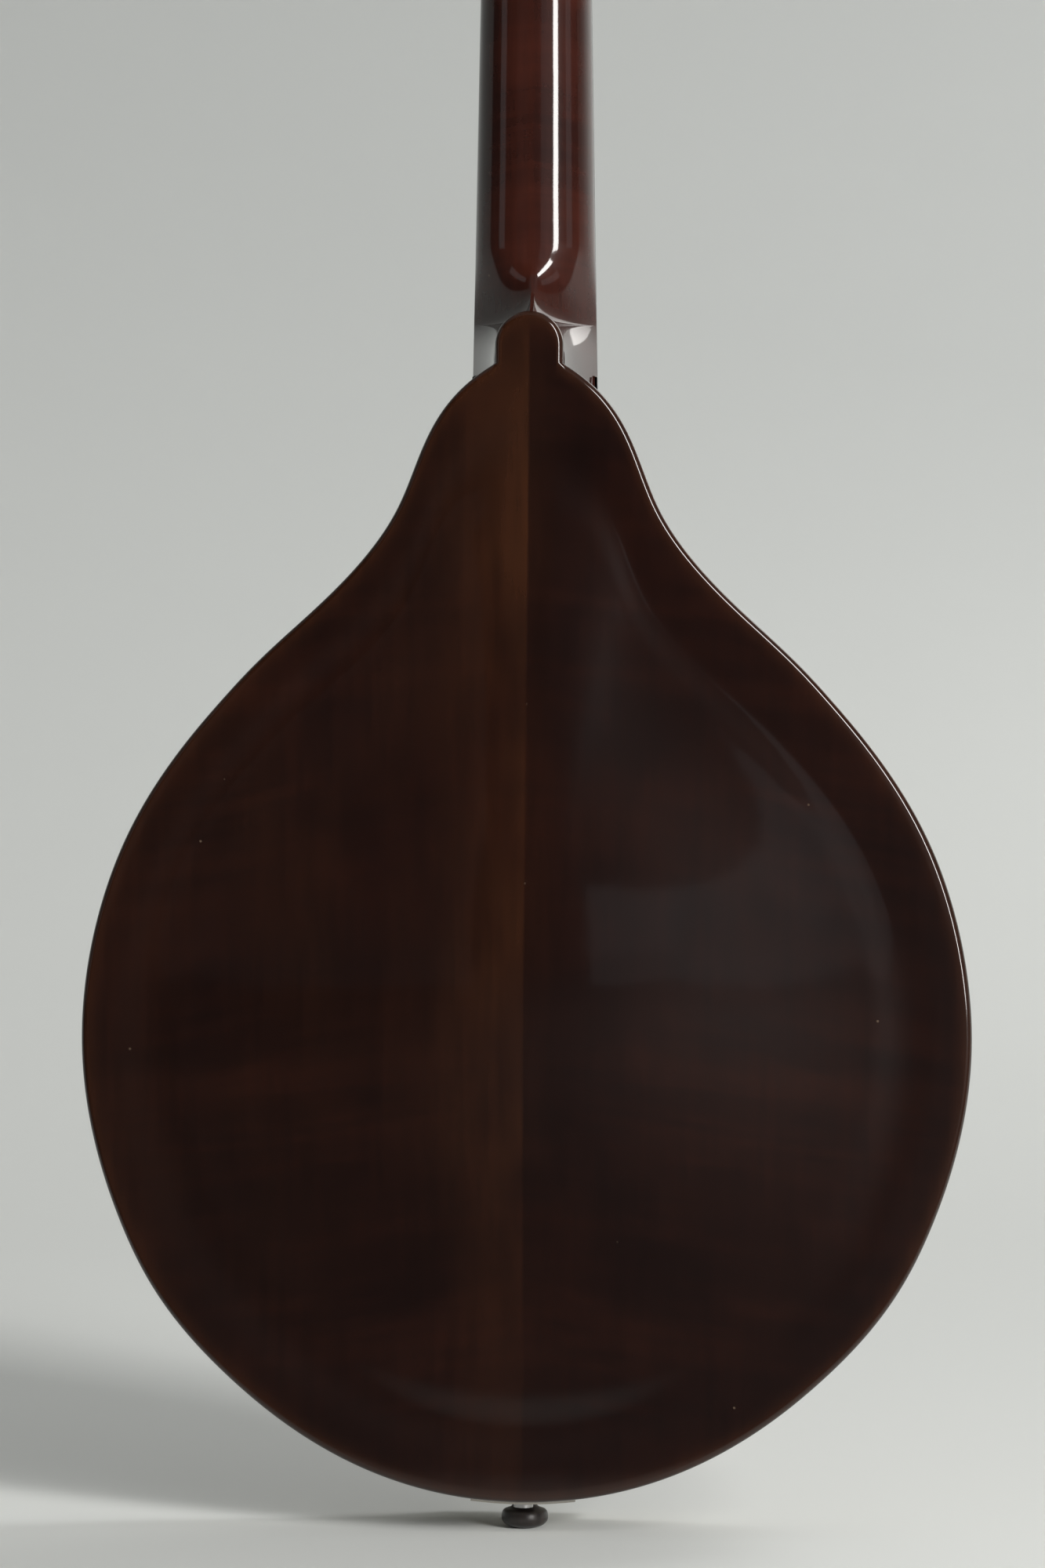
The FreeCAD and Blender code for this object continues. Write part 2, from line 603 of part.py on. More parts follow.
# ---------------------------------------------------------------- the neck
NUT_V = "(scale_length*(1-2^(-joint_fret/12)))"
HEAD_V = f"({NUT_V}+nut_thick)"
BOARD_LOW_V = f"({NUT_V}-scale_length*(1-2^(-fret_count/12))-board_end)"
BOARD_TAPER = f"(neck_width_joint-neck_width_nut)/{NUT_V}"
head_v = nut_v + dim.nut_thick


def neck_half_width(v):
    """Half the width of the neck and fingerboard, measured up the neck from the body joint."""
    return (dim.neck_width_nut + (dim.neck_width_joint - dim.neck_width_nut) * (nut_v - v) / nut_v) / 2


def heel_depth():
    """Gluing face of the neck to a little past the inside of the heel button."""
    return dim.rim_depth - dim.plate_thick + dim.neck_rise + 4.0


def neck_depth(v):
    """Depth of the neck below its gluing face: the heel, its sweep and the slim shaft."""
    low, high = dim.button_length, dim.button_length + dim.heel_sweep
    slim = dim.neck_depth_joint + (dim.neck_depth_nut - dim.neck_depth_joint) * (v - high) / (nut_v - high)
    if v <= low:
        return heel_depth()
    if v >= high:
        return slim
    return heel_depth() - (heel_depth() - slim) * math.sqrt(1 - ((high - v) / dim.heel_sweep) ** 2)


def ridge_half_width(v):
    """Half the width of the heel where it meets the back's tongue, closing to the shaft's rounded keel."""
    r = dim.button_width / 2
    beyond = v - (dim.button_length - r)
    if beyond <= 0:
        return r
    return max(math.sqrt(max(r * r - beyond * beyond, 0.0)), 0.5)


def hollow_section(half, keel, depth, flank, fall, frame, v):
    """A wire across the neck, raised past its flat face, with flanks x = keel + (half - keel) cos^flank."""
    steps = 12
    side = []
    for i in range(steps + 1):
        turn = math.pi / 2 * i / steps
        x = keel + (half - keel) * max(math.cos(turn), 0.0) ** flank
        side.append(Vector(x, v, -depth * math.sin(turn) ** fall))
    other = [Vector(-p.x, p.y, p.z) for p in side[::-1]]
    right, left = Part.BSplineCurve(), Part.BSplineCurve()
    right.interpolate([frame.multVec(p) for p in side])
    left.interpolate([frame.multVec(p) for p in other])
    lift = 3.0
    corners = [side[-1], other[0]], [other[-1], Vector(-half, v, lift)]
    corners += [Vector(-half, v, lift), Vector(half, v, lift)], [Vector(half, v, lift), side[0]]
    lines = [Part.makeLine(frame.multVec(a), frame.multVec(b)) for a, b in corners]
    return Part.Wire([right.toShape(), lines[0], left.toShape()] + lines[1:])


def neck_stations():
    """Places along the neck for its sections, closest where the heel turns."""
    low, high = dim.button_length, dim.button_length + dim.heel_sweep
    r = dim.button_width / 2
    tongue = [low - r + r * math.sin(math.pi / 2 * i / 7) for i in range(7)]
    sweep = [high - dim.heel_sweep * math.cos(math.pi / 2 * i / 9) for i in range(10)]
    shaft = [high + (head_v - 5 - high) * i / 7 for i in range(1, 8)]
    return [-12.0, -4.0] + tongue + sweep + shaft


def head_edge_points():
    """Shoulder of the peghead on the treble side, from the nut outwards, in the peghead's frame."""
    half, low = dim.neck_width_nut / 2, dim.head_width_low / 2
    return [Vector(half, 0, 0), Vector(half + 0.8, 6, 0), Vector(half + 5.5, 10.2, 0),
            Vector(low - 3.5, 14.6, 0), Vector(low, 21, 0)]


def head_half_width(y):
    """Half the width of the peghead's lowest part."""
    points = head_edge_points()
    for a, b in zip(points, points[1:]):
        if y <= b.y:
            return a.x + (b.x - a.x) * (y - a.y) / (b.y - a.y)
    return points[-1].x


def head_face(inset=0.0, foot=0.0):
    """The peghead's outline: swept shoulders, sides that widen a little and a plain rounded crown."""
    top = dim.head_width_top / 2 - inset
    shoulder = [p - Vector(inset, 0, 0) for p in head_edge_points()]
    brow, crown = Vector(top, dim.head_length - 24, 0), Vector(0, dim.head_length - inset, 0)
    bend = Vector(top * 0.66, dim.head_length - 8.5 - inset, 0)
    edges = []
    for side in (1, -1):
        flip = [Vector(side * p.x, p.y, 0) for p in shoulder]
        curve = Part.BSplineCurve()
        curve.interpolate(flip)
        a, b, c, d = (Vector(side * p.x, p.y, 0) for p in (shoulder[-1], brow, bend, crown))
        edges.append([curve.toShape(), Part.makeLine(a, b), Part.Arc(b, c, d).toShape()])
    close = Part.makeLine(Vector(-shoulder[0].x, 0, 0), Vector(shoulder[0].x, 0, 0))
    face = Part.Face(Part.Wire(edges[0] + edges[1][::-1] + [close]))
    return face.cut(Part.makePlane(FAR, foot, Vector(-FAR / 2, 0, 0))).Faces[0] if foot > 0 else face


def tenon_solid():
    """The dovetail that holds the neck in its block, in the body frame."""
    near, far = dim.tenon_width / 2, dim.tenon_width / 2 + dim.tenon_flare
    low, high = joint_z - dim.tenon_length, joint_z + 2
    corners = [Vector(-near, high, 0), Vector(-near, joint_z, 0), Vector(-far, low, 0),
               Vector(far, low, 0), Vector(near, joint_z, 0), Vector(near, high, 0)]
    flat = Part.Face(Part.makePolygon(corners + corners[:1]))
    return between_plates(prism(flat, -50, front - dim.plate_thick))


def truss_channel(radius, start, finish):
    """A cylinder on the truss rod's axis, in the neck frame."""
    return Part.makeCylinder(radius, finish - start, Vector(0, start, -dim.truss_rod_below), Vector(0, 1, 0))


def make_neck(tenon):
    """Neck with its heel, dovetail and peghead in one piece of wood."""
    sections = []
    for v in neck_stations():
        t = smooth((v - dim.button_length * 0.8) / 26)
        sections.append(hollow_section(neck_half_width(v), ridge_half_width(v), neck_depth(v),
                                       3 - 2 * t, 2 - t, Placement(), v))
    nape = NECK.inverse() * HEAD
    for y in (1.0, 3.5, 6.0, 8.5, 11.0):
        t = y / 11
        sections.append(hollow_section(head_half_width(y), 0.5, dim.head_thick, 1 - 0.4 * t, 1 - 0.4 * t, nape, y))
    stick = Part.makeLoft(sections, True, True)
    slab = placed(prism(head_face(foot=7.0), -dim.head_thick, 3), nape)
    stick = stick.fuse(slab)
    stick = stick.cut(block(-FAR, FAR, -FAR, FAR, 0, FAR))
    stick = stick.cut(placed(block(-FAR, FAR, -FAR, FAR, 0, FAR), nape))
    in_neck = NECK.inverse() * BODY
    body = prism(full_face(), -front, front + 30).fuse(block(-FAR / 2, FAR / 2, -FAR, joint_z, front, FAR / 2))
    body = body.fuse(block(-FAR / 2, FAR / 2, -FAR, joint_z + 30, -FAR, -(front - dim.plate_thick)))
    stick = stick.cut(placed(body, in_neck)).fuse(placed(tenon, in_neck))
    pocket = truss_channel(dim.truss_nut_d / 2 + 0.6, head_v + dim.truss_nut_start - 3, head_v + 32)
    stick = stick.cut(truss_channel(dim.truss_rod_d / 2, 6, head_v + 20)).cut(pocket)
    for x, y in post_places():
        drill = Part.makeCylinder(dim.post_d / 2 + 0.3, 40, Vector(x, y, -30))
        seat = Part.makeCylinder(dim.bushing_d / 2, 20, Vector(x, y, dim.veneer_thick - dim.bushing_h))
        stick = stick.cut(placed(drill.fuse(seat), nape))
    stick = stick.cut(placed(Part.makeCompound(tuner_screw_shanks() + cover_screw_shanks()), nape))
    feature("neck", one_solid(stick), NECK)


def make_truss_rod():
    """Steel rod in the neck and the nut that tightens it inside the peghead."""
    rod = cylinder("truss_rod_bar", "truss_rod_d/2", f"{HEAD_V}+truss_nut_start+truss_nut_length-2-6",
                   "0", "6", "-truss_rod_below", along="y")
    keep("truss_rod", compound("truss_rod", rod), NECK)
    start = f"{HEAD_V}+truss_nut_start"
    hexagon = bind(doc.addObject("Part::Prism", "truss_nut_hexagon"), Circumradius="truss_nut_d/2",
                   Height="truss_nut_length")
    hexagon.Polygon = 6
    hexagon.Placement = Placement(Vector(), Rotation(X, -90))
    bind(hexagon, Placement__Base__y=start, Placement__Base__z="-truss_rod_below")
    bore = cylinder("truss_nut_bore", "truss_rod_d/2+running_gap", "truss_nut_length+1", "0",
                    start + "-1", "-truss_rod_below", along="y")
    keep("truss_nut", cut("truss_nut", hexagon, bore), NECK)


def make_fingerboard():
    """Tapered board with slots for its frets and holes for its dots."""
    half_nut, half_low = "neck_width_nut/2", f"(neck_width_nut+{BOARD_TAPER}*({NUT_V}-{BOARD_LOW_V}))/2"
    profile = ((f"-{half_low}", BOARD_LOW_V), (half_low, BOARD_LOW_V), (half_nut, NUT_V), (f"-{half_nut}", NUT_V))
    body, sketch = profile_body("fingerboard_blank", profile)
    pad = body.newObject("PartDesign::Pad", "fingerboard_pad")
    pad.Profile = sketch
    bind(pad, Length="board_thick")
    slots = [box(f"slot_{i}", "60", "tang_width", "tang_depth+1", "-30", f"{fret_v(i)}-tang_width/2",
                 "board_thick-tang_depth") for i in range(1, int(dim.fret_count) + 1)]
    holes = [cylinder(f"dot_hole_{i}", "dot_d/2", "dot_depth+1", x, y, "board_thick-dot_depth")
             for i, (x, y) in enumerate(dot_places())]
    keep("fingerboard", cut("fingerboard", body, *slots, *holes), NECK)
    dots = [cylinder(f"dot_{i}", "dot_d/2", "dot_depth", x, y, "board_thick-dot_depth")
            for i, (x, y) in enumerate(dot_places())]
    keep("position_dots", compound("position_dots", *dots), NECK)


def fret_v(i):
    """Place of a fret up the neck, as an expression."""
    return f"({NUT_V}-scale_length*(1-2^(-{i}/12)))"


def dot_places():
    """Centres of the position dots: single at 5, 7, 10 and 15, a pair at 12."""
    spots = [("0", f"({fret_v(i)}+{fret_v(i - 1)})/2") for i in (5, 7, 10, 15)]
    twelfth = f"({fret_v(12)}+{fret_v(11)})/2"
    return spots + [("-dot_d*1.5", twelfth), ("dot_d*1.5", twelfth)]


def make_frets():
    """Crowned frets with tangs, each trimmed to the board's width."""
    rise, half = dim.fret_height, dim.fret_width / 2
    base, wires = dim.board_thick, []
    for i in range(1, int(dim.fret_count) + 1):
        v = number(fret_v(i))
        reach = neck_half_width(v) - 0.2
        tang, foot = dim.tang_width / 2, base - dim.tang_depth
        corners = [(-half, base), (-tang, base), (-tang, foot), (tang, foot), (tang, base), (half, base)]
        points = [Vector(-reach, v + y, z) for y, z in corners]
        crown = Part.Arc(points[-1], Vector(-reach, v, base + rise), points[0]).toShape()
        lines = [Part.makeLine(a, b) for a, b in zip(points, points[1:])]
        wires.append(Part.Face(Part.Wire(lines + [crown])).extrude(Vector(2 * reach, 0, 0)))
    feature("frets", Part.makeCompound(wires), NECK)


def make_riser():
    """Wedge that carries the fingerboard's end over the top."""
    low, high = board_low_v, 4.0
    corners = [Vector(s * (neck_half_width(v) - dim.riser_inset), v, -30)
               for v, s in ((low, -1), (low, 1), (high, 1), (high, -1))]
    wedge = Part.Face(Part.makePolygon(corners + corners[:1])).extrude(Vector(0, 0, 30))
    in_neck = NECK.inverse() * BODY
    wedge = wedge.cut(placed(UNDER_TOP, in_neck))
    wedge = wedge.cut(placed(block(-FAR, FAR, joint_z, FAR * 2, -FAR, FAR), in_neck))
    feature("fingerboard_riser", one_solid(wedge), NECK)


# ---------------------------------------------------------------- the peghead and its tuners
def post_places():
    """Centres of the eight tuner posts in the peghead's frame."""
    return [(side * dim.post_row / 2, dim.first_post + i * dim.post_pitch) for side in (-1, 1) for i in range(4)]


def post_y(i):
    """Place of a post up the peghead, as an expression."""
    return f"(first_post+{i}*post_pitch)"


WORM_Z = "-(head_thick+tuner_plate_thick+worm_d/2+worm_gap)"
WORM_DROP = "((gear_d+worm_d)/2+worm_gap)"
PLATE_Z = "-(head_thick+tuner_plate_thick)"
SCREW_YS = ("(first_post-plate_screw_drop)",)
SCREW_YS += tuple(f"(first_post+{i}*post_pitch+plate_screw_rise)" for i in range(4))


def tuner_screw_shanks():
    """Holes for the screws that hold both tuner plates."""
    return [Part.makeCylinder(dim.plate_screw_shank / 2, dim.plate_screw_length,
                              Vector(side * dim.post_row / 2, number(y), -dim.head_thick))
            for side in (-1, 1) for y in SCREW_YS]


def cover_screw_shanks():
    """Holes for the two screws of the truss rod cover."""
    return [Part.makeCylinder(0.9, 6.0, Vector(x, number(y), dim.veneer_thick - 6))
            for x, y in cover_screw_places()]


def cover_screw_places():
    """Centres of the truss rod cover's screws: one above the pocket's end and two beside the nut."""
    low = "(truss_cover_start+3)"
    return [(0, "(truss_cover_start+truss_cover_length-2.6)"), (-6.4, low), (6.4, low)]


def make_veneer():
    """Thin veneer over the peghead's face, opened for the bushings and the truss rod's nut."""
    sheet_wood = prism(head_face(), 0, dim.veneer_thick)
    for x, y in post_places():
        sheet_wood = sheet_wood.cut(Part.makeCylinder(dim.bushing_d / 2, 9, Vector(x, y, -3)))
    nape = HEAD.inverse() * NECK
    pocket = truss_channel(dim.truss_nut_d / 2 + 0.6, head_v + dim.truss_nut_start - 3, head_v + 32)
    sheet_wood = sheet_wood.cut(placed(pocket, nape)).cut(Part.makeCompound(cover_screw_shanks()))
    sheet_wood = sheet_wood.cut(placed(block(-40, 40, -40, head_v, -20, 40), nape))
    feature("head_veneer", one_solid(sheet_wood), HEAD)


def make_truss_cover():
    """Bell-shaped plate over the truss rod's nut, with its screws."""
    half, low, top = "truss_cover_width/2", "truss_cover_start", "(truss_cover_start+truss_cover_length)"
    waist, bell = "truss_cover_width*0.34", "truss_cover_start+truss_cover_length*0.6"
    profile = ((f"-{half}", low), (half, low), (half, low + "+5"), (waist, bell), ("2.6", top), ("-2.6", top),
               ("-" + waist, bell), (f"-{half}", low + "+5"))
    body, sketch = profile_body("truss_cover_blank", profile)
    pad = body.newObject("PartDesign::Pad", "truss_cover_pad")
    pad.Profile = sketch
    bind(pad, Length="truss_cover_thick")
    raised = compound("truss_cover_raised", body)
    bind(raised, Placement__Base__z="veneer_thick")
    drills, screws = [], []
    for i, (x, y) in enumerate(cover_screw_places()):
        drills.append(cylinder(f"cover_drill_{i}", "0.9", "20", str(x), y, "-8"))
        shank = cylinder(f"cover_screw_shank_{i}", "0.9", "6+truss_cover_thick", str(x), y, "veneer_thick-6")
        head = cylinder(f"cover_screw_head_{i}", "cover_screw_d/2", "0.8", str(x), y,
                        "veneer_thick+truss_cover_thick")
        screws.append(fuse(f"cover_screw_{i}", shank, head))
    keep("truss_cover", cut("truss_cover", raised, *drills), HEAD)
    keep("truss_cover_screws", compound("truss_cover_screws", *screws), HEAD)


def make_tuner_plate(name, side):
    """Base plate with an ear on each side of every worm."""
    row = f"{side}*post_row/2"
    parts = [box(f"plate_{name}", "tuner_plate_width", "3*post_pitch+plate_below+plate_above",
                 "tuner_plate_thick", f"{row}-tuner_plate_width/2", "first_post-plate_below", PLATE_Z)]
    drills = [cylinder(f"plate_{name}_screw_{i}", "plate_screw_shank/2", "9", row, y, "-head_thick-6")
              for i, y in enumerate(SCREW_YS)]
    for i in range(4):
        y = f"({post_y(i)}-{WORM_DROP})"
        drills.append(cylinder(f"plate_{name}_bore_{i}", "post_d/2+running_gap", "9", row, post_y(i),
                               "-head_thick-6"))
        drills.append(cylinder(f"plate_{name}_journal_{i}", "shaft_d/2+running_gap", "40", f"{row}-20", y,
                               WORM_Z, "x"))
        for j, away in enumerate((-1, 1)):
            x = f"{row}+{away}*ear_gap-ear_thick/2"
            parts.append(box(f"plate_{name}_ear_{i}_{j}", "ear_thick", "ear_width",
                             "worm_d/2+worm_gap+shaft_d/2+1.4+0.4", x, f"{y}-ear_width/2", f"{WORM_Z}-shaft_d/2-1.4"))
    plate = cut(f"tuner_plate_{name}", fuse(f"plate_{name}_blank", *parts), *drills)
    keep(f"tuner_plate_{name}", plate, HEAD)


def make_tuner_fittings():
    """Plate screws and the bushings that line the post holes."""
    screws, bushings = [], []
    for s, side in enumerate((-1, 1)):
        row = f"{side}*post_row/2"
        for i, y in enumerate(SCREW_YS):
            shank = cylinder(f"tuner_screw_shank_{s}_{i}", "plate_screw_shank/2",
                             "plate_screw_length+tuner_plate_thick", row, y, PLATE_Z)
            head = cylinder(f"tuner_screw_head_{s}_{i}", "plate_screw_d/2", "1.2", row, y, PLATE_Z + "-1.2")
            screws.append(fuse(f"tuner_screw_{s}_{i}", shank, head))
        for i in range(4):
            tube = cylinder(f"bushing_tube_{s}_{i}", "bushing_d/2", "bushing_h", row, post_y(i),
                            "veneer_thick-bushing_h")
            brim = cylinder(f"bushing_brim_{s}_{i}", "bushing_flange_d/2", "bushing_flange_h", row, post_y(i),
                            "veneer_thick")
            bore = cylinder(f"bushing_bore_{s}_{i}", "post_d/2+running_gap", "20", row, post_y(i), "-10")
            bushings.append(cut(f"bushing_{s}_{i}", fuse(f"bushing_blank_{s}_{i}", tube, brim), bore))
    keep("tuner_plate_screws", compound("tuner_plate_screws", *screws), HEAD)
    keep("post_bushings", compound("post_bushings", *bushings), HEAD)


def gear_blank():
    """Toothed wheel around the z axis, with a hole for the end of the post."""
    teeth, outer = int(dim.gear_teeth), dim.gear_d / 2
    root = outer - dim.tooth_depth
    points = []
    for i in range(teeth):
        for share, radius in ((0.0, root), (0.18, outer), (0.5, outer), (0.68, root)):
            turn = 2 * math.pi * (i + share) / teeth
            points.append(Vector(radius * math.cos(turn), radius * math.sin(turn), 0))
    wheel = Part.Face(Part.makePolygon(points + points[:1])).extrude(Vector(0, 0, dim.gear_thick))
    return wheel.cut(Part.makeCylinder(dim.post_end_d / 2, dim.gear_thick))


WRAP_Z = "(veneer_thick+bushing_flange_h+2.8)"


def make_post(name, side, place, wire_d, turns):
    """Post with its gear, the gear's screw and the string wound on it."""
    row, y = f"{side}*post_row/2", post_y(place)
    gear_z = f"({WORM_Z}-gear_thick/2)"
    shaft = cylinder(f"{name}_barrel", "post_d/2", f"veneer_thick+post_height+head_thick+tuner_plate_thick",
                     row, y, PLATE_Z)
    end = cylinder(f"{name}_end", "post_end_d/2", f"{PLATE_Z}-{gear_z}", row, y, gear_z)
    hole = cylinder(f"{name}_eye", "0.9", "20", f"{row}-10", y, "veneer_thick+post_height-2.4", "x")
    barrel = cut(f"{name}_shaft", fuse(f"{name}_blank", shaft, end), hole)
    gear = doc.addObject("Part::Feature", f"{name}_gear")
    gear.Shape = gear_blank()
    bind(gear, Placement__Base__x=row, Placement__Base__y=y, Placement__Base__z=gear_z)
    screw = cylinder(f"{name}_gear_screw", "gear_screw_d/2", "1.1", row, y, gear_z + "-1.1")
    low = f"({WRAP_Z}+{wire_d}/2+0.08)"
    wrap = cylinder(f"{name}_wrap", f"post_d/2+{wire_d}", f"{wire_d}*{turns}", row, y, low)
    core = cylinder(f"{name}_core", "post_d/2", "20", row, y, "0")
    keep(name, compound(name, barrel, gear, screw, cut(f"{name}_winding", wrap, core)), HEAD)


def make_knob(name, side, place):
    """Worm on its shaft, with an oval button outside the peghead."""
    y = f"({post_y(place)}-{WORM_DROP})"
    row, along = f"{side}*post_row/2", "x" if side > 0 else "-x"
    inner = f"({row}-{side}*(ear_gap+ear_thick/2+0.6))"
    start = "(head_width_top/2+knob_reach)"
    reach = f"{start}+7-post_row/2+ear_gap+ear_thick/2+0.6"
    shaft = cylinder(f"{name}_shaft", "shaft_d/2", reach, inner, y, WORM_Z, along)
    worm = cylinder(f"{name}_worm", "worm_d/2", "worm_length", f"{row}-{side}*worm_length/2", y, WORM_Z, along)
    spindle = fuse(f"{name}_spindle", shaft, worm)
    button = doc.addObject("Part::Feature", f"{name}_blank")
    long, wide = dim.knob_length / 2, dim.knob_width / 2
    oval = Part.Ellipse(Vector(), max(long, wide), min(long, wide)).toShape()
    if wide > long:
        oval.rotate(Vector(), Vector(0, 0, 1), 90)
    body = prism(Part.Face(Part.Wire([oval])), -dim.knob_thick / 2, dim.knob_thick / 2)
    button.Shape = body.makeFillet(dim.knob_thick * 0.34, body.Edges[:1] + body.Edges[2:])
    bind(button, Placement__Base__x=f"{side}*({start}+knob_length/2)", Placement__Base__y=y,
         Placement__Base__z=WORM_Z)
    socket = cylinder(f"{name}_socket", "shaft_d/2", reach, inner, y, WORM_Z, along)
    keep(name, compound(name, spindle, cut(f"{name}_button", button, socket)), HEAD)


# ---------------------------------------------------------------- strings
def string_height():
    """Strings' centres above the neck's gluing face, at the nut."""
    return dim.board_thick + dim.fret_height + dim.string_over_fret


nut_point = into(BODY, Vector(0, nut_v, string_height()), NECK)
bridge_z = front + dim.arch_top + dim.bridge_height
bridge_y = nut_point.y - math.sqrt(dim.scale_length ** 2 - (bridge_z - nut_point.z) ** 2)
BRIDGE = BODY * Placement(Vector(0, bridge_y, 0), Rotation())
RING_LIFT = 1.7      # string loops above the tailpiece
LOOP_SWELL = 1.3     # thickness of a loop over its string's


def across(course, string, spread, gap):
    """Sideways place of a string, counted from the bass side, for a spread of pairs and a gap in each."""
    return (course - 1.5) * spread / 3 + (string - 0.5) * gap


def loop_radius(wire_d):
    """Radius of the loop that a string makes around its hook, where the wire is wrapped on itself."""
    return dim.hook_d / 2 + LOOP_SWELL * wire_d / 2 + 0.03


def string_route(course, string):
    """Corners of a string's path in the body frame: hook, saddle, both edges of the nut and its post."""
    name, wire_d, side, first, turns = COURSES[course]
    place = first + (string if side < 0 else 1 - string)
    at_nut = across(course, string, dim.nut_spread, dim.pair_gap_nut)
    at_bridge = across(course, string, dim.bridge_spread, dim.pair_gap_bridge)
    hook_x = (2 * course + string - 3.5) * dim.tail_hook_pitch
    hook = Vector(hook_x, dim.hook_from_tail + loop_radius(wire_d), dim.tailpiece_thick + RING_LIFT)
    high = string_height()
    back = into(HEAD, Vector(at_nut, head_v, high), NECK)
    post = Vector(side * dim.post_row / 2, dim.first_post + place * dim.post_pitch, 0)
    reach = dim.post_d / 2 + wire_d / 2 + 0.05
    away = Vector(back.x - post.x, back.y - post.y, 0)
    swing = math.acos(reach / away.Length)
    toward = Rotation(Vector(0, 0, 1), math.degrees(side * -swing)).multVec(away.normalize())
    touch = post + toward * reach
    touch.z = number(WRAP_Z)
    return [into(BODY, hook, TAIL), Vector(at_bridge, bridge_y, bridge_z),
            into(BODY, Vector(at_nut, nut_v, high), NECK), into(BODY, Vector(at_nut, head_v, high), NECK),
            into(BODY, touch, HEAD)]


def wire_along(points, radius):
    """Round wire through a list of corners, mitred where it turns."""
    along = (points[1] - points[0]).normalize()
    side = along.cross(Vector(0, 0, 1)).normalize()
    other = along.cross(side)
    turns = [2 * math.pi * i / 16 for i in range(16)]
    ring = [points[0] + (side * math.cos(turn) + other * math.sin(turn)) * radius for turn in turns]
    rims = [ring]
    for i in range(1, len(points)):
        along = (points[i] - points[i - 1]).normalize()
        after = (points[i + 1] - points[i]).normalize() if i + 1 < len(points) else along
        mitre = along + after
        ring = [p + along * ((points[i] - p).dot(mitre) / along.dot(mitre)) for p in ring]
        rims.append(ring)
    wires = []
    for ring in rims:
        curve = Part.BSplineCurve()
        curve.interpolate(Points=ring, PeriodicFlag=True)
        wires.append(Part.Wire([curve.toShape()]))
    return Part.makeLoft(wires, True, True)


def make_strings():
    """Eight strings in four pairs, each with a loop on its hook."""
    for course, (name, wire_d, side, first, turns) in enumerate(COURSES):
        pair = []
        for string in (0, 1):
            points = string_route(course, string)
            radius = loop_radius(wire_d)
            centre = into(TAIL, points[0], BODY) - Vector(0, radius, 0)
            loop = Part.makeTorus(radius, LOOP_SWELL * wire_d / 2, centre, Vector(0, 0, 1))
            loop = placed(loop, BODY.inverse() * TAIL)
            pair.append(one_solid(wire_along(points, wire_d / 2).fuse(loop)))
        feature(f"strings_{name}", Part.makeCompound(pair), BODY)


def string_grooves(first, last):
    """Grooves for all strings over part of their route, in the body frame."""
    grooves = []
    for course, (name, wire_d, side, post, turns) in enumerate(COURSES):
        for string in (0, 1):
            points = string_route(course, string)[first:last + 1]
            grooves.append(wire_along(points, wire_d / 2 + 0.05))
    return grooves


def make_nut():
    """Nut with a groove for each string."""
    half = dim.neck_width_nut / 2
    blank = block(-half, half, nut_v, head_v, 0, string_height() + dim.nut_above_string)
    grooves = placed(Part.makeCompound(string_grooves(1, 4)), NECK.inverse() * BODY)
    feature("nut", one_solid(blank.cut(grooves)), NECK)


# ---------------------------------------------------------------- the bridge
BASE_TOP = "(rim_depth/2+arch_top+bridge_base_thick)"
WHEEL_Z = f"({BASE_TOP}+wheel_gap)"
SADDLE_Z = f"({WHEEL_Z}+wheel_thick)"
STUD_GRIP = 5.0       # stud inside the base
STUD_RISE = 2.8       # stud inside the saddle
STUD_ROOM = 4.3       # hole in the saddle


def upright(points, depth):
    """A closed outline in the bridge's cross plane made solid along the strings."""
    flat = Part.Face(Part.makePolygon([Vector(x, -depth / 2, z) for x, z in points + points[:1]]))
    return flat.extrude(Vector(0, depth, 0))


def make_bridge_base():
    """Arched foot carved to the top, with a relief between its two feet."""
    long, top, depth = dim.bridge_foot / 2, number(BASE_TOP), dim.bridge_base_width
    shelf = dim.stud_spacing / 2 + dim.wheel_d / 2 + 1.2
    tip = front + arch_height(long, bridge_y, dim.arch_top) + 2.4
    outline = [(-long, 0), (long, 0), (long, tip), (long - 2.5, tip + 1.2), (shelf, top), (-shelf, top),
               (-long + 2.5, tip + 1.2), (-long, tip)]
    under = placed(UNDER_TOP, BRIDGE.inverse() * BODY)
    relief = placed(layer(TOP_FACE, 0, 2.2), BRIDGE.inverse() * BODY).common(block(-16, 16, -20, 20, 0, FAR))
    base = upright(outline, depth).cut(under).cut(relief)
    for side in (-1, 1):
        foot = Vector(side * dim.stud_spacing / 2, 0, top - STUD_GRIP)
        base = base.cut(Part.makeCylinder(dim.stud_d / 2, 20, foot))
    feature("bridge_base", one_solid(base), BRIDGE)


def make_saddle():
    """Bridge saddle with a groove for each string and a hole over each stud."""
    long, low, high = dim.saddle_length / 2, number(SADDLE_Z), bridge_z + dim.nut_above_string
    flat = dim.bridge_spread / 2 + 4
    outline = [(-long + 2, low), (long - 2, low), (long, low + 1.6), (long, high - 1.6), (long - 3, high - 0.7),
               (flat, high), (-flat, high), (-long + 3, high - 0.7), (-long, high - 1.6), (-long, low + 1.6)]
    saddle = upright(outline, dim.saddle_width)
    for side in (-1, 1):
        foot = Vector(side * dim.stud_spacing / 2, 0, low - 1)
        saddle = saddle.cut(Part.makeCylinder(dim.stud_d / 2 + dim.running_gap, STUD_ROOM + 1, foot))
    for groove in string_grooves(0, 2):
        saddle = saddle.cut(placed(groove, BRIDGE.inverse() * BODY))
    feature("bridge_saddle", one_solid(saddle), BRIDGE)


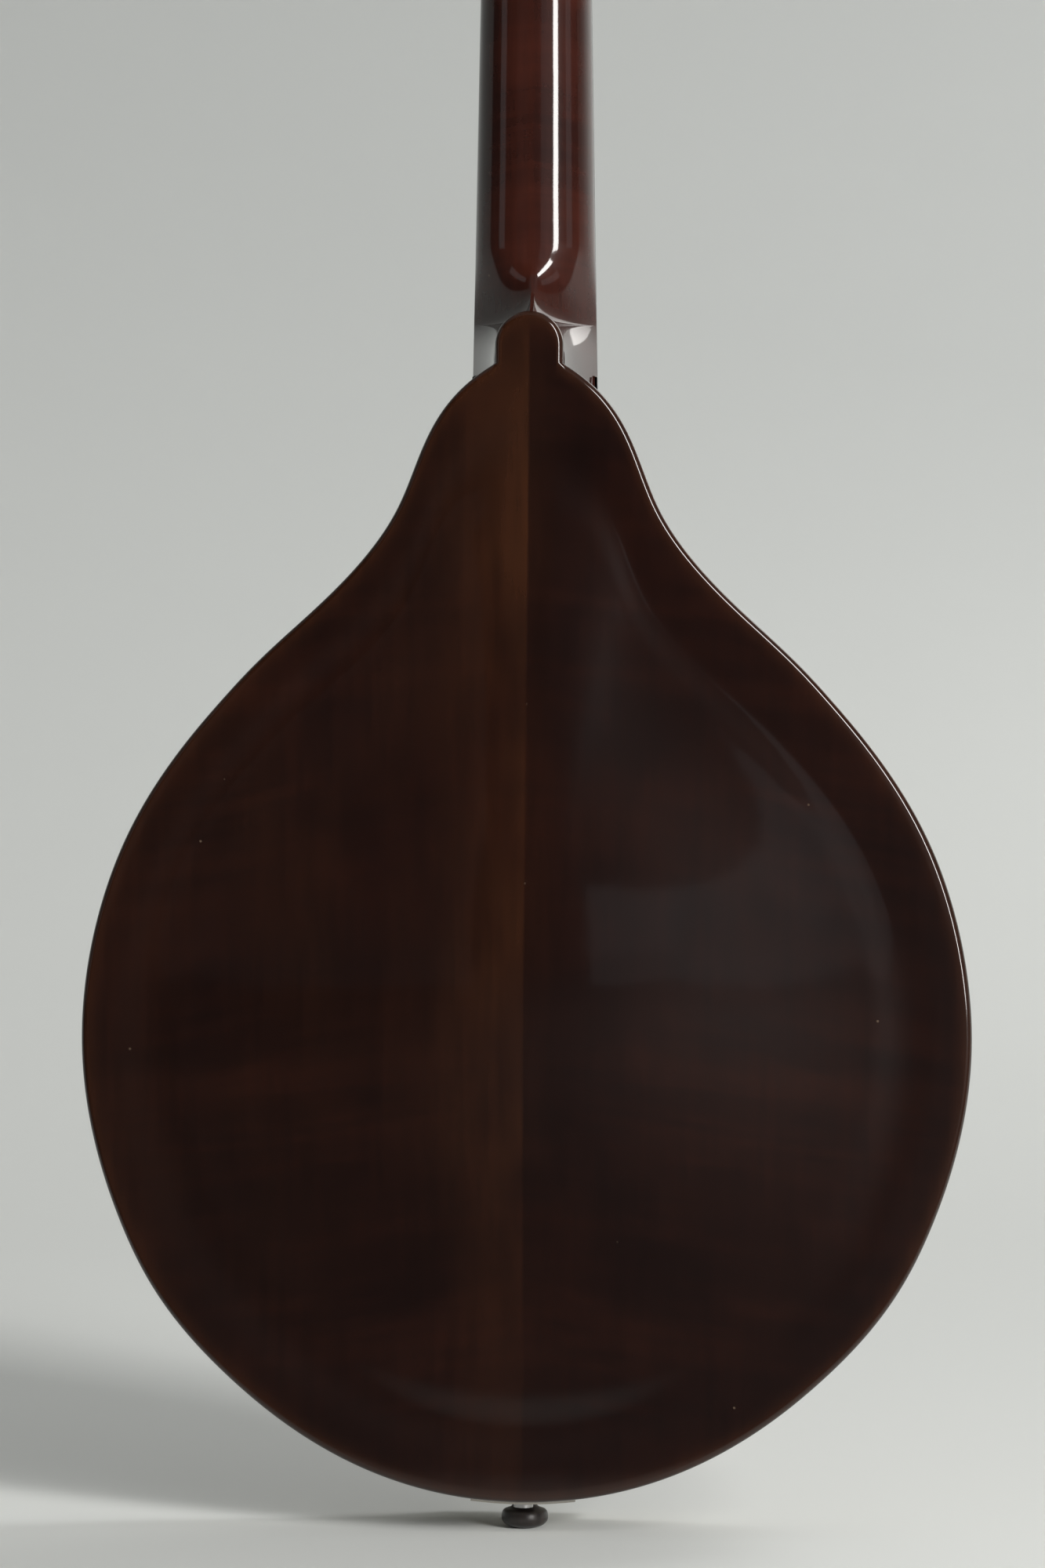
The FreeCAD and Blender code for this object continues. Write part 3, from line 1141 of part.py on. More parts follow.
def make_bridge_hardware():
    """Two studs in the base and the knurled wheels that lift the saddle."""
    studs = []
    for name, side in (("bass", -1), ("treble", 1)):
        x = f"{side}*stud_spacing/2"
        studs.append(cylinder(f"stud_{name}", "stud_d/2", f"{STUD_GRIP}+wheel_gap+wheel_thick+{STUD_RISE}",
                              x, "0", f"{BASE_TOP}-{STUD_GRIP}"))
        disc = cylinder(f"wheel_{name}_disc", "wheel_d/2", "wheel_thick", x, "0", WHEEL_Z)
        bore = cylinder(f"wheel_{name}_bore", "stud_d/2+running_gap", "wheel_thick+2", x, "0", WHEEL_Z + "-1")
        keep(f"thumbwheel_{name}", cut(f"thumbwheel_{name}", disc, bore), BRIDGE)
    keep("bridge_studs", compound("bridge_studs", *studs), BRIDGE)


# ---------------------------------------------------------------- the tailpiece
def make_tailpiece():
    """Bent metal tailpiece with eight hooks, screwed to the tail end under the end pin."""
    metal, half, strap = dim.tailpiece_thick, dim.tailpiece_width / 2, dim.tail_strap_width / 2
    outline = [(-strap, -metal), (strap, -metal), (strap, 2), (half, 6), (half, dim.tailpiece_length - 4),
               (half - 4, dim.tailpiece_length), (-half + 4, dim.tailpiece_length), (-half, dim.tailpiece_length - 4),
               (-half, 6), (-strap, 2)]
    flat = Part.Face(Part.makePolygon([Vector(x, y, 0) for x, y in outline + outline[:1]]))
    plate = flat.extrude(Vector(0, 0, metal))
    for i in range(8):
        foot = Vector((i - 3.5) * dim.tail_hook_pitch, dim.hook_from_tail, metal / 2)
        plate = plate.fuse(Part.makeCylinder(dim.hook_d / 2, metal / 2 + dim.hook_height, foot))
    bend = prism(full_face(-metal), -FAR, FAR).cut(prism(full_face(), -FAR, FAR))
    bend = bend.common(block(-strap, strap, 0, tail_z + 8, -dim.rim_depth * 0.36, FAR / 4))
    over = placed(block(-FAR, FAR, -FAR, FAR, metal, FAR), BODY.inverse() * TAIL)
    bend = placed(bend.cut(over).cut(Part.makeCompound(tail_drills())), TAIL.inverse() * BODY)
    feature("tailpiece_frame", one_solid(plate.fuse(bend)), TAIL)


def make_tail_cover():
    """Folded cover that slides over the tailpiece from the tail end, open towards the bridge."""
    metal, gap, wall = dim.tailpiece_thick, dim.cover_clearance, dim.tail_cover_wall
    half, finish = dim.tailpiece_width / 2 + gap, dim.tailpiece_length + 3
    top = metal + dim.tail_cover_height
    outer = block(-half - wall, half + wall, -metal - gap - wall, finish, -gap - wall, top)
    inner = block(-half, half, -metal - gap, finish + 20, -gap, top - wall)
    outer = rounded(outer, 3.0, finish)
    inner = rounded(inner, 3.0 - wall, finish + 20)
    shell = outer.cut(inner).cut(block(-half + 1.7, half - 1.7, -metal - gap, FAR, -FAR, 0))
    feature("tailpiece_cover", one_solid(shell), TAIL)


def rounded(solid, radius, open_end):
    """A box with round edges along its top and its tail corners, square at its open end."""
    high = solid.BoundBox.ZMax
    picked = [e for e in solid.Edges if e.CenterOfMass.y < open_end - 0.1 and e.CenterOfMass.z > solid.BoundBox.ZMin + 0.1
              and (e.BoundBox.ZMin > high - 0.1 or e.BoundBox.ZLength > 1)]
    return solid.makeFillet(radius, picked)


def make_tail_screws():
    """Two screws through the tailpiece's strap into the tail block."""
    screws = []
    for f in tail_screw_levels():
        start = Vector(0, tail_z - dim.tailpiece_thick, f)
        shank = Part.makeCylinder(dim.tail_screw_shank / 2, dim.tail_screw_depth, start, Vector(0, 1, 0))
        head = Part.makeCylinder(dim.tail_screw_d / 2, 1.3, start - Vector(0, 1.3, 0), Vector(0, 1, 0))
        screws.append(shank.fuse(head))
    feature("tailpiece_screws", Part.makeCompound(screws), BODY)


# ---------------------------------------------------------------- assembly and export
def build():
    """Makes every piece, from the inside of the body outwards."""
    tenon = tenon_solid()
    make_blocks(tenon)
    make_sides(tenon, Part.makeCompound(tail_drills()))
    make_plates()
    make_end_pin()
    make_neck(tenon)
    make_truss_rod()
    make_fingerboard()
    make_frets()
    make_riser()
    make_nut()
    make_veneer()
    make_truss_cover()
    make_tuner_fittings()
    for name, side in (("bass", -1), ("treble", 1)):
        make_tuner_plate(name, side)
    for name, wire_d, side, first, turns in COURSES:
        for i in (0, 1):
            make_post(f"post_{name}{i + 1}", side, first + i, wire_d, turns)
            make_knob(f"knob_{name}{i + 1}", side, first + i)
    make_bridge_base()
    make_saddle()
    make_bridge_hardware()
    make_tailpiece()
    make_tail_cover()
    make_tail_screws()
    make_strings()


def check():
    """Stops the build when an object failed to recompute or a piece's shape is unsound."""
    for obj in doc.Objects:
        if any(word in obj.State for word in ("Invalid", "Error")):
            raise RuntimeError(f"{obj.Label} did not recompute: {obj.State}")
    for label, obj in nodes.items():
        if obj.Label != label:
            raise RuntimeError(f"{label} was relabelled {obj.Label}")
        if obj.Shape.isNull() or not obj.Shape.isValid() or not obj.Shape.Solids:
            raise RuntimeError(f"{label} has no sound solid")


def export():
    """Writes one STEP file for each piece."""
    os.makedirs("parts", exist_ok=True)
    for label, obj in nodes.items():
        obj.Shape.exportStep(f"parts/{label}.step")
    print(f"{len(nodes)} pieces written")


build()
doc.recompute()
check()
export()
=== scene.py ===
"""Carved mandolin: looks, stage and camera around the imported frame, laid out as an add-on."""
import math
from collections import namedtuple

import bmesh
import bpy
import numpy as np
from bpy.props import FloatProperty, FloatVectorProperty, IntProperty, PointerProperty
from bpy.types import Operator, Panel, PropertyGroup
from mathutils import Matrix, Vector


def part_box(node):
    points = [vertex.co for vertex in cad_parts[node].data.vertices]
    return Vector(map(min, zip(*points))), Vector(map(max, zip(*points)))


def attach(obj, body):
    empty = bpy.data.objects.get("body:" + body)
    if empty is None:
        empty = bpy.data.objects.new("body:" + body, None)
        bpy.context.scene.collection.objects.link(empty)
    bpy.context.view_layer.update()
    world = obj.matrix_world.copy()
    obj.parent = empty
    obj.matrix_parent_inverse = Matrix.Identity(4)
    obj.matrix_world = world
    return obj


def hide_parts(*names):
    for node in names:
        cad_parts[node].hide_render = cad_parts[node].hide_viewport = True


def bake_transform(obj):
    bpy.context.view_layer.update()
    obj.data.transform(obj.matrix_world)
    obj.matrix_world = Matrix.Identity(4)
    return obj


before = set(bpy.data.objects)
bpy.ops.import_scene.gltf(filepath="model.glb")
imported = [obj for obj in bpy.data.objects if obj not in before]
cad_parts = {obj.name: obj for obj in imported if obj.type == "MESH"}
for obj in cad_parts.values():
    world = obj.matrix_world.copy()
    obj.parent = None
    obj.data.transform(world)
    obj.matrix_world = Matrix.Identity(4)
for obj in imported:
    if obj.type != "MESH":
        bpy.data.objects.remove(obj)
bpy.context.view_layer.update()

bl_info = {
    "name": "Carved mandolin",
    "version": (1, 0, 0),
    "blender": (4, 5, 0),
    "location": "3D View > Sidebar > Mandolin",
    "description": "Builds the woodwork, fittings, finishes and studio of a carved mandolin",
    "category": "Object",
}

TAU = 2 * math.pi
RIGHT_ANGLE = math.pi / 2


def low(node):
    """Lowest corner of a node's box."""
    return np.array(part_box(node)[0], float)


def high(node):
    """Highest corner of a node's box."""
    return np.array(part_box(node)[1], float)


# ---------------------------------------------------------------- sizes read from the frame
TAIL = float(low("rib_treble")[2])                 # height of the body's tail end
JOINT = float(high("rib_treble")[2])               # height of the neck joint
FRONT = float(-low("top_binding")[1])              # half the rim's depth
TONGUE = float(high("back_treble_half")[2] - JOINT)
ARCH_BACK = float(high("back_treble_half")[1] - FRONT)
ARCH_TOP = float(-low("top_treble_half")[1] - FRONT)
BODY_LENGTH = JOINT - TAIL
CROWN = TAIL + 0.43 * BODY_LENGTH                  # height of the arches' crowns
SADDLE_HEIGHT = float(low("bridge_saddle")[2] + high("bridge_saddle")[2]) / 2
SADDLE_CREST = float(low("bridge_saddle")[1])

# share of the half width and of the length for each pole of the half outline, tail to neck
OUTLINE = np.array([
    (0.000, 0.000), (0.315, 0.000), (0.740, 0.117), (0.921, 0.234), (1.039, 0.400),
    (0.929, 0.594), (0.661, 0.717), (0.575, 0.751), (0.244, 0.865), (0.236, 0.963),
])

# ---------------------------------------------------------------- smaller sizes, in metres
ARCH_FOOT = 0.93                 # share of the way to the edge where the arch comes down level
ARCH_BLEND = (0.2, 0.8)          # shares between which the ellipse turns into the outline
TROUGH = (0.85, 0.08)            # middle and half width of the trough, as shares
HOLE = (0.027, 0.0205)           # half axes of the sound hole
HOLE_MIDDLE = np.array((0.0, JOINT - 0.093))
HOLE_LIP = 0.0008                # radius of the hole's front edge
ROSETTE = (0.0045, 0.0085)       # both edges of the inlay, out from the hole
BINDING_DEPTH = 0.005
EDGE_BAND = 0.006                # width of the lighter amber band along the back's edge
NUT_THICK = 0.0045
VENEER = 0.0015
BARREL = 0.003                   # radius of a tuner post
POST_TOP = VENEER + 0.012
WRAP_LEVEL = VENEER + 0.0036     # where a string meets its post
PLATE_BACK = -0.0142             # rear face of the tuner plates, in the peghead's frame
WORM_LEVEL = PLATE_BACK - 0.0028
WORM_DROP = 0.0076               # worm's axis below its post's
WORM_HALF = 0.004                # half the thread's length
SPINDLE_END = 0.037              # from the middle line to the spindle's collar
HOOK_SPACING = 0.0042
HOOK_HEIGHT = 0.043
HOOK_LEVEL = 0.0029
HOOK_RADIUS = 0.0009
NUT_SPREAD = 0.0224              # outer pair to outer pair at the nut
SADDLE_SPREAD = 0.038            # the same at the saddle
STRING_LEVEL = 0.0067            # strings over the gluing face at the nut


# ---------------------------------------------------------------- what a user can change
class MandolinSizes(PropertyGroup):
    """Sizes of the woodwork and fittings that the frame's boxes don't state."""

    body_width: FloatProperty(name="Body width", description="Widest part of the body", default=0.254,
                              unit="LENGTH")
    button_width: FloatProperty(name="Heel tongue", description="Width of the back's tongue over the heel",
                                default=0.0196, unit="LENGTH")
    plate: FloatProperty(name="Plates", description="Thickness of the carved plates", default=0.004,
                         unit="LENGTH")
    rib: FloatProperty(name="Ribs", description="Thickness of the bent sides", default=0.002, unit="LENGTH")
    edge_round: FloatProperty(name="Edge", description="Radius of the back's edge", default=0.0019,
                              unit="LENGTH")
    binding: FloatProperty(name="Binding", description="Width of the top's binding", default=0.002,
                           unit="LENGTH")
    trough: FloatProperty(name="Recurve", description="Depth of the trough inside the edge", default=0.0005,
                          unit="LENGTH")
    neck_angle: FloatProperty(name="Neck angle", description="Lean of the neck", default=math.radians(5),
                              subtype="ANGLE")
    head_angle: FloatProperty(name="Peghead angle", description="Lean of the peghead from the neck",
                              default=math.radians(15), subtype="ANGLE")
    neck_rise: FloatProperty(name="Neck rise", description="Gluing face above the front edge", default=0.004,
                             unit="LENGTH")
    nut_reach: FloatProperty(name="Nut", description="Neck joint to the nut", default=0.1765, unit="LENGTH")
    neck_width_nut: FloatProperty(name="Neck at the nut", description="Width of the neck at the nut",
                                  default=0.030,
                                  unit="LENGTH")
    neck_width_joint: FloatProperty(name="Neck at the body", description="Width of the neck at the body",
                                    default=0.0366, unit="LENGTH")
    neck_depth_nut: FloatProperty(name="Depth at the nut", description="Depth of the neck's wood at the nut",
                                  default=0.013, unit="LENGTH")
    neck_depth_joint: FloatProperty(name="Depth near the body",
                                    description="Depth of the shaft above the heel",
                                    default=0.0155, unit="LENGTH")
    heel_sweep: FloatProperty(name="Heel sweep", description="Length of the curve from heel to shaft",
                              default=0.020,
                              unit="LENGTH")
    head_thick: FloatProperty(name="Peghead", description="Thickness of the peghead's wood", default=0.013,
                              unit="LENGTH")
    post_row: FloatProperty(name="Post rows", description="Between the two rows of posts", default=0.037,
                            unit="LENGTH")
    post_pitch: FloatProperty(name="Post pitch", description="Post to post", default=0.0234, unit="LENGTH")
    first_post: FloatProperty(name="First post", description="Nut to the first post", default=0.032,
                              unit="LENGTH")
    gear_teeth: IntProperty(name="Gear teeth", description="Teeth on each tuner gear", default=14)
    worm_pitch: FloatProperty(name="Worm pitch", description="Advance of the worm's thread", default=0.00175,
                              unit="LENGTH")


class MandolinFinish(PropertyGroup):
    """Colours and gloss of the finishes."""

    lacquer_deep: FloatVectorProperty(name="Deep stain", description="Darkest tone of the stained maple",
                                      default=(0.0050, 0.00135, 0.0009), subtype="COLOR", size=3)
    lacquer_warm: FloatVectorProperty(name="Warm stain",
                                      description="Tone of the stained maple where it glows",
                                      default=(0.0150, 0.0036, 0.0017), subtype="COLOR", size=3)
    # The amber also tints a lighter band along the back's edge.
    lacquer_amber: FloatVectorProperty(name="Amber",
                                       description="Where the stain thins at an edge or the seam",
                                       default=(0.030, 0.0095, 0.0034), subtype="COLOR", size=3)
    spruce_amber: FloatVectorProperty(name="Top centre", description="Middle of the shaded top",
                                      default=(0.20, 0.060, 0.014), subtype="COLOR", size=3)
    gloss: FloatProperty(name="Lacquer roughness", description="Roughness of polished lacquer", default=0.075,
                         min=0, max=1, subtype="FACTOR")
    ivory: FloatVectorProperty(name="Cream plastic", description="Binding, dots and buttons",
                               default=(0.70, 0.59, 0.40), subtype="COLOR", size=3)
    ebony: FloatVectorProperty(name="Ebony", description="Fingerboard, bridge and pin",
                               default=(0.012, 0.009, 0.008),
                               subtype="COLOR", size=3)
    nickel: FloatVectorProperty(name="Nickel", description="Plated fittings", default=(0.66, 0.62, 0.56),
                                subtype="COLOR", size=3)


class MandolinStudio(PropertyGroup):
    """Camera, lights and surroundings."""

    distance: FloatProperty(name="Camera distance", description="Camera to the back's edge", default=1.30,
                            unit="LENGTH")
    frame_height: FloatProperty(name="Frame height", description="Height of the view at the back's edge",
                                default=0.4468, unit="LENGTH")
    eye: FloatProperty(name="Eye level", description="Height of the camera", default=0.215, unit="LENGTH")
    yaw: FloatProperty(name="Yaw", description="Turn of the camera off the back's normal",
                       default=math.radians(2.4),
                       subtype="ANGLE")
    roll: FloatProperty(name="Roll", description="Lean of the instrument in the view",
                        default=math.radians(0.35),
                        subtype="ANGLE")
    room: FloatProperty(name="Room", description="Radius of the studio's floor before it curves up",
                        default=0.9,
                        unit="LENGTH")
    wall: FloatVectorProperty(name="Wall", description="Colour of the floor and walls",
                              default=(0.62, 0.63, 0.61),
                              subtype="COLOR", size=3)


def sizes():
    """The scene's size settings."""
    return bpy.context.scene.mandolin_sizes


def finish():
    """The scene's finish settings."""
    return bpy.context.scene.mandolin_finish


def studio():
    """The scene's studio settings."""
    return bpy.context.scene.mandolin_studio


# ---------------------------------------------------------------- local frames
class Place:
    """A local frame: x across, v up and n out of the front, carried into the model's frame."""

    def __init__(self, origin, lean):
        """The origin, and the unit vectors up and out, turned about x by the lean."""
        self.origin = np.array(origin, float)
        self.up = np.array((0, math.sin(lean), math.cos(lean)))
        self.out = np.array((0, -math.cos(lean), math.sin(lean)))

    def __call__(self, x, v, n):
        """origin + x X + v up + n out, for whole arrays."""
        x, v, n = np.broadcast_arrays(np.asarray(x, float), v, n)
        across = x[..., None] * np.array((1.0, 0, 0))
        return self.origin + across + v[..., None] * self.up + n[..., None] * self.out


def neck_place():
    """The neck's frame, with its origin on the gluing face at the body joint."""
    s = sizes()
    return Place((0, -(FRONT + s.neck_rise), JOINT), s.neck_angle)


def head_place():
    """The peghead's frame, with its origin behind the nut."""
    s = sizes()
    neck = neck_place()
    return Place(neck(0, s.nut_reach + NUT_THICK, 0), s.neck_angle + s.head_angle)


TAILPIECE = Place((0, -(FRONT + 0.0014), TAIL), math.radians(-6))


# ---------------------------------------------------------------- mesh helpers
def grid_faces(rows, columns, wrap, start=0):
    """Quads of a grid of rows by columns whose columns wrap round or not."""
    r = np.arange(rows - 1)[:, None]
    c = np.arange(columns if wrap else columns - 1)[None, :]
    a, b = r * columns + c, r * columns + (c + 1) % columns
    return start + np.stack([a, b, b + columns, a + columns], -1).reshape(-1, 4)


def make_piece(name, islands, body, replaced, slot, dressed=None, masks=None, crisp=None):
    """A mesh object from islands of (points, faces), facing outwards, riding on a body.

    It has its slot's finish, unless it is dressed in another, and edges sharper than crisp degrees split.
    """
    points, faces, start = [], [], 0
    for island_points, island_faces in islands:
        flat = np.asarray(island_points, float).reshape(-1, 3)
        points.append(flat)
        faces += [tuple(int(i) + start for i in face) for face in island_faces]
        start += len(flat)
    mesh = bpy.data.meshes.new(name)
    mesh.from_pydata(np.concatenate(points).tolist(), [], faces)
    for mask_name, values in (masks or {}).items():
        layer = mesh.attributes.new(mask_name, "FLOAT", "POINT")
        layer.data.foreach_set("value", np.asarray(values, np.float32).ravel())
    mesh.update()
    face_outwards(mesh)
    mesh.polygons.foreach_set("use_smooth", [True] * len(mesh.polygons))
    mesh.materials.append(finish_named(dressed or slot))
    piece = bpy.data.objects.new(name, mesh)
    bpy.context.scene.collection.objects.link(piece)
    if body:
        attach(piece, body)
    if replaced:
        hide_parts(*replaced)
    if crisp is not None:
        sharpen(piece, crisp)
    return piece


def face_outwards(mesh):
    """Merges doubled points and turns every face outwards."""
    work = bmesh.new()
    work.from_mesh(mesh)
    bmesh.ops.remove_doubles(work, verts=work.verts, dist=1e-7)
    bmesh.ops.recalc_face_normals(work, faces=work.faces)
    work.to_mesh(mesh)
    work.free()


def sharpen(piece, degrees):
    """Splits the shading where faces meet at more than an angle."""
    piece.modifiers.new("crisp edges", "EDGE_SPLIT").split_angle = math.radians(degrees)


def closed_grid(points):
    """An island from a grid of points whose rows are rings, with both ends capped by a fan about their
    middles."""
    rows, columns = points.shape[:2]
    ends = [points.reshape(-1, 3), points[0].mean(0)[None], points[-1].mean(0)[None]]
    base, tip, last = rows * columns, rows * columns + 1, (rows - 1) * columns
    faces = [tuple(f) for f in grid_faces(rows, columns, True)]
    faces += [(base, (c + 1) % columns, c) for c in range(columns)]
    faces += [(tip, last + c, last + (c + 1) % columns) for c in range(columns)]
    return np.concatenate(ends), faces


def turned(profile, place, x, v, around=48):
    """A profile of (radius, height along n) turned about an axis through (x, v) in a place."""
    radius, rise = np.array(profile, float).T
    turn = np.linspace(0, TAU, around, endpoint=False)
    px = x + radius[:, None] * np.cos(turn)
    pv = v + radius[:, None] * np.sin(turn)
    return closed_grid(place(px, pv, rise[:, None] + 0 * turn))


def tube(path, radius, around=12):
    """A round tube along a path: each ring lies across the path, carried along with no twist."""
    path = np.asarray(path, float)
    along = np.gradient(path, axis=0)
    along /= np.linalg.norm(along, axis=1)[:, None]
    guide = np.array((1.0, 0.0, 0.0)) if abs(along[0, 0]) < 0.8 else np.array((0.0, 1.0, 0.0))
    side = np.cross(along, guide)
    side /= np.linalg.norm(side, axis=1)[:, None]
    other = np.cross(along, side)
    turn = np.linspace(0, TAU, around, endpoint=False)
    radius = np.broadcast_to(radius, len(path))[:, None, None]
    ring = side[:, None] * np.cos(turn)[None, :, None] + other[:, None] * np.sin(turn)[None, :, None]
    return closed_grid(path[:, None] + ring * radius)


def ease(t):
    """A step from 0 to 1 with level ends."""
    t = np.clip(t, 0, 1)
    return t * t * (3 - 2 * t)


# ---------------------------------------------------------------- the outline and the arches
def cubic(poles, count):
    """Points and tangents of a clamped uniform cubic B-spline, by the Cox-de Boor recursion on whole
    arrays."""
    spans = len(poles) - 3
    knots = np.r_[[0] * 3, np.arange(spans + 1), [spans] * 3].astype(float)
    u = np.linspace(0, spans - 1e-9, count)
    basis = [((knots[i] <= u) & (u < knots[i + 1])).astype(float) for i in range(len(knots) - 1)]
    for degree in (1, 2, 3):
        raised = []
        for i in range(len(basis) - 1):
            left, right = knots[i + degree] - knots[i], knots[i + degree + 1] - knots[i + 1]
            rising = (u - knots[i]) / left * basis[i] if left > 0 else 0 * u
            falling = (knots[i + degree + 1] - u) / right * basis[i + 1] if right > 0 else 0 * u
            raised.append(rising + falling)
        basis = raised
    points = np.stack(basis, -1) @ poles
    tangents = np.gradient(points, axis=0)
    return points, tangents / np.linalg.norm(tangents, axis=1)[:, None]


def half_rim(count=220):
    """The treble half of the outline from the tail's middle to the neck joint, with its inward normals."""
    s = sizes()
    poles = np.c_[OUTLINE[:, 0] * s.body_width / 2, TAIL + OUTLINE[:, 1] * BODY_LENGTH]
    poles = np.r_[poles, [(s.button_width / 2, JOINT)]]
    points, along = cubic(poles, count)
    return points, np.c_[-along[:, 1], along[:, 0]]


def even(points, normals, count):
    """A line of points and normals resampled evenly by length."""
    both = np.c_[points, normals]
    steps = np.r_[0, np.cumsum(np.linalg.norm(np.diff(points, axis=0), axis=1))]
    at = np.linspace(0, steps[-1], count)
    out = np.stack([np.interp(at, steps, both[:, k]) for k in range(4)], -1)
    return out[:, :2], out[:, 2:] / np.linalg.norm(out[:, 2:], axis=1)[:, None]


def whole_rim(tongue=False, count=260):
    """The outline once round from the tail, treble side first, with inward normals, with or without the
    tongue."""
    points, inward = even(*half_rim(900), count)
    r = sizes().button_width / 2
    if tongue:
        straight = TONGUE - r
        turn = np.linspace(0, RIGHT_ANGLE, 24)
        cap = np.c_[r * np.cos(turn), JOINT + straight + r * np.sin(turn)]
        side = np.c_[np.full(8, r), np.linspace(JOINT, JOINT + straight, 9)[:-1]]
        points = np.r_[points[:-1], side, cap]
        inward = np.r_[inward[:-1], np.tile((-1.0, 0.0), (8, 1)), np.c_[-np.cos(turn), -np.sin(turn)]]
    else:
        across = np.linspace(r, 0, 12)[1:]
        points = np.r_[points, np.c_[across, np.full(11, JOINT)]]
        inward = np.r_[inward[:-1], [(-0.6, -0.8)], np.tile((0.0, -1.0), (11, 1))]
    flip = np.array((-1.0, 1.0))
    return np.r_[points, points[-2:0:-1] * flip], np.r_[inward, inward[-2:0:-1] * flip]


def arch(x, z, rise):
    """Height of a carved plate over its edge: rise cos^2(pi/2 share/foot) less a cos^2 trough near the edge.

    The share runs from 0 at the crown to 1 on the outline, turning from an ellipse's into the outline's own.
    """
    s = sizes()
    rim, _ = half_rim(900)
    rim = np.r_[[(0.0, JOINT)], rim[::-1]]
    angles = np.arctan2(rim[:, 0], rim[:, 1] - CROWN)
    radii = np.hypot(rim[:, 0], rim[:, 1] - CROWN)
    radius = np.interp(np.arctan2(np.abs(x), z - CROWN), angles, radii)
    by_rim = np.hypot(x, z - CROWN) / radius
    by_ellipse = np.hypot(x / (s.body_width / 2), (z - CROWN) / (BODY_LENGTH / 2))
    weight = ease((by_rim - ARCH_BLEND[0]) / (ARCH_BLEND[1] - ARCH_BLEND[0]))
    share = (1 - weight) * by_ellipse + weight * by_rim
    bell = np.cos(RIGHT_ANGLE * np.minimum(share / ARCH_FOOT, 1)) ** 2
    dip = np.cos(RIGHT_ANGLE * np.minimum(np.abs(share - TROUGH[0]) / TROUGH[1], 1)) ** 2
    return rise * bell - s.trough * dip


# ---------------------------------------------------------------- the carved body
def back_islands():
    """The carved back in one closed island, and its masks.

    Rows run from the crown to the line where the edge starts to round: crown + (line - crown) t, at the height
    of the arch.  A quarter circle then rolls over the edge, the side drops straight, and the same arch less the
    plate's thickness runs back to the crown inside.
    """
    s = sizes()
    rim, inward = whole_rim(tongue=True, count=300)
    line = rim + inward * s.edge_round
    crown = np.array((0.0, CROWN))
    t = np.linspace(0, 1, 74)[1:, None, None]
    face = crown + (line - crown) * t
    rise = FRONT + arch(face[..., 0], face[..., 1], ARCH_BACK)
    turn = np.linspace(0, RIGHT_ANGLE, 9)[1:, None]
    rolled = rim + inward * (s.edge_round * (1 - np.sin(turn)))[..., None]
    roll_rise = rise[-1] - s.edge_round * (1 - np.cos(turn))
    wall = np.stack([rim, rim])
    wall_rise = np.stack([np.full(len(rim), FRONT - s.plate * share) for share in (0.6, 1)])
    inner_rim = rim + inward * s.rib / 2
    inner = crown + (inner_rim - crown) * np.linspace(1, 0.012, 30)[:, None, None]
    inner_rise = FRONT + arch(inner[..., 0], inner[..., 1], ARCH_BACK) - s.plate
    plan = np.concatenate([face, rolled, wall, inner])
    height = np.concatenate([rise, roll_rise, wall_rise, inner_rise])
    points = np.stack([plan[..., 0], height, plan[..., 1]], -1)
    reach = np.linalg.norm(line - crown, axis=1)
    near = np.concatenate([(1 - t[..., 0]) * reach, 0 * roll_rise, 0 * wall_rise, 0 * inner_rise + 1])
    inside = np.concatenate([0 * rise, 0 * roll_rise, 0 * wall_rise, 0 * inner_rise + 1])
    return closed_grid(points), {"edge": cap(np.clip(1 - near / EDGE_BAND, 0, 1)), "inside": cap(inside)}


def cap(mask):
    """A mask over a grid with the values of its two end caps added."""
    return np.r_[mask.ravel(), mask[0, 0], mask[-1, 0]]


def round_the_section(plan, height):
    """An island from rows that go round a ring's section and close on themselves."""
    points = np.stack([plan[..., 0], -height, plan[..., 1]], -1)
    points = np.concatenate([points, points[:1]])
    return points, [tuple(f) for f in grid_faces(*points.shape[:2], True)]


def top_islands():
    """The carved top from its sound hole out to the binding.

    Straight lines run from the hole's ellipse to the outline inset by the binding, both met by rays from the
    hole's centre, at the arch's height; the inner face is the same arch less the plate's thickness.
    """
    s = sizes()
    rim, inward = whole_rim(count=260)
    rim = rim + inward * s.binding
    angle = np.arctan2(rim[:, 1] - HOLE_MIDDLE[1], rim[:, 0])
    across, along = HOLE
    outward = np.c_[np.cos(angle), np.sin(angle)]
    ray = across * along / np.hypot(along * np.cos(angle), across * np.sin(angle))
    hole = HOLE_MIDDLE + outward * ray[:, None]
    t = np.linspace(0, 1, 70)[:, None, None] ** 1.15
    face = hole + outward * HOLE_LIP + (rim - hole - outward * HOLE_LIP) * t
    rise = FRONT + arch(face[..., 0], face[..., 1], ARCH_TOP)
    turn = np.linspace(RIGHT_ANGLE, 0, 6)[:-1, None]
    lip = hole + outward * (HOLE_LIP * (1 - np.sin(turn)))[..., None]
    lip_rise = rise[0] - HOLE_LIP * (1 - np.cos(turn))
    under = face[::-3]
    under_rise = FRONT + arch(under[..., 0], under[..., 1], ARCH_TOP) - s.plate
    drop_rise = (FRONT + arch(hole[:, 0], hole[:, 1], ARCH_TOP) - s.plate)[None]
    plan = np.concatenate([lip, face, under, hole[None]])
    height = np.concatenate([lip_rise, rise, under_rise, drop_rise])
    inside = np.concatenate([0 * lip_rise, 0 * rise, 0 * under_rise + 1, 0 * drop_rise + 1])
    return round_the_section(plan, height), {"inside": np.r_[inside.ravel(), inside[0]]}


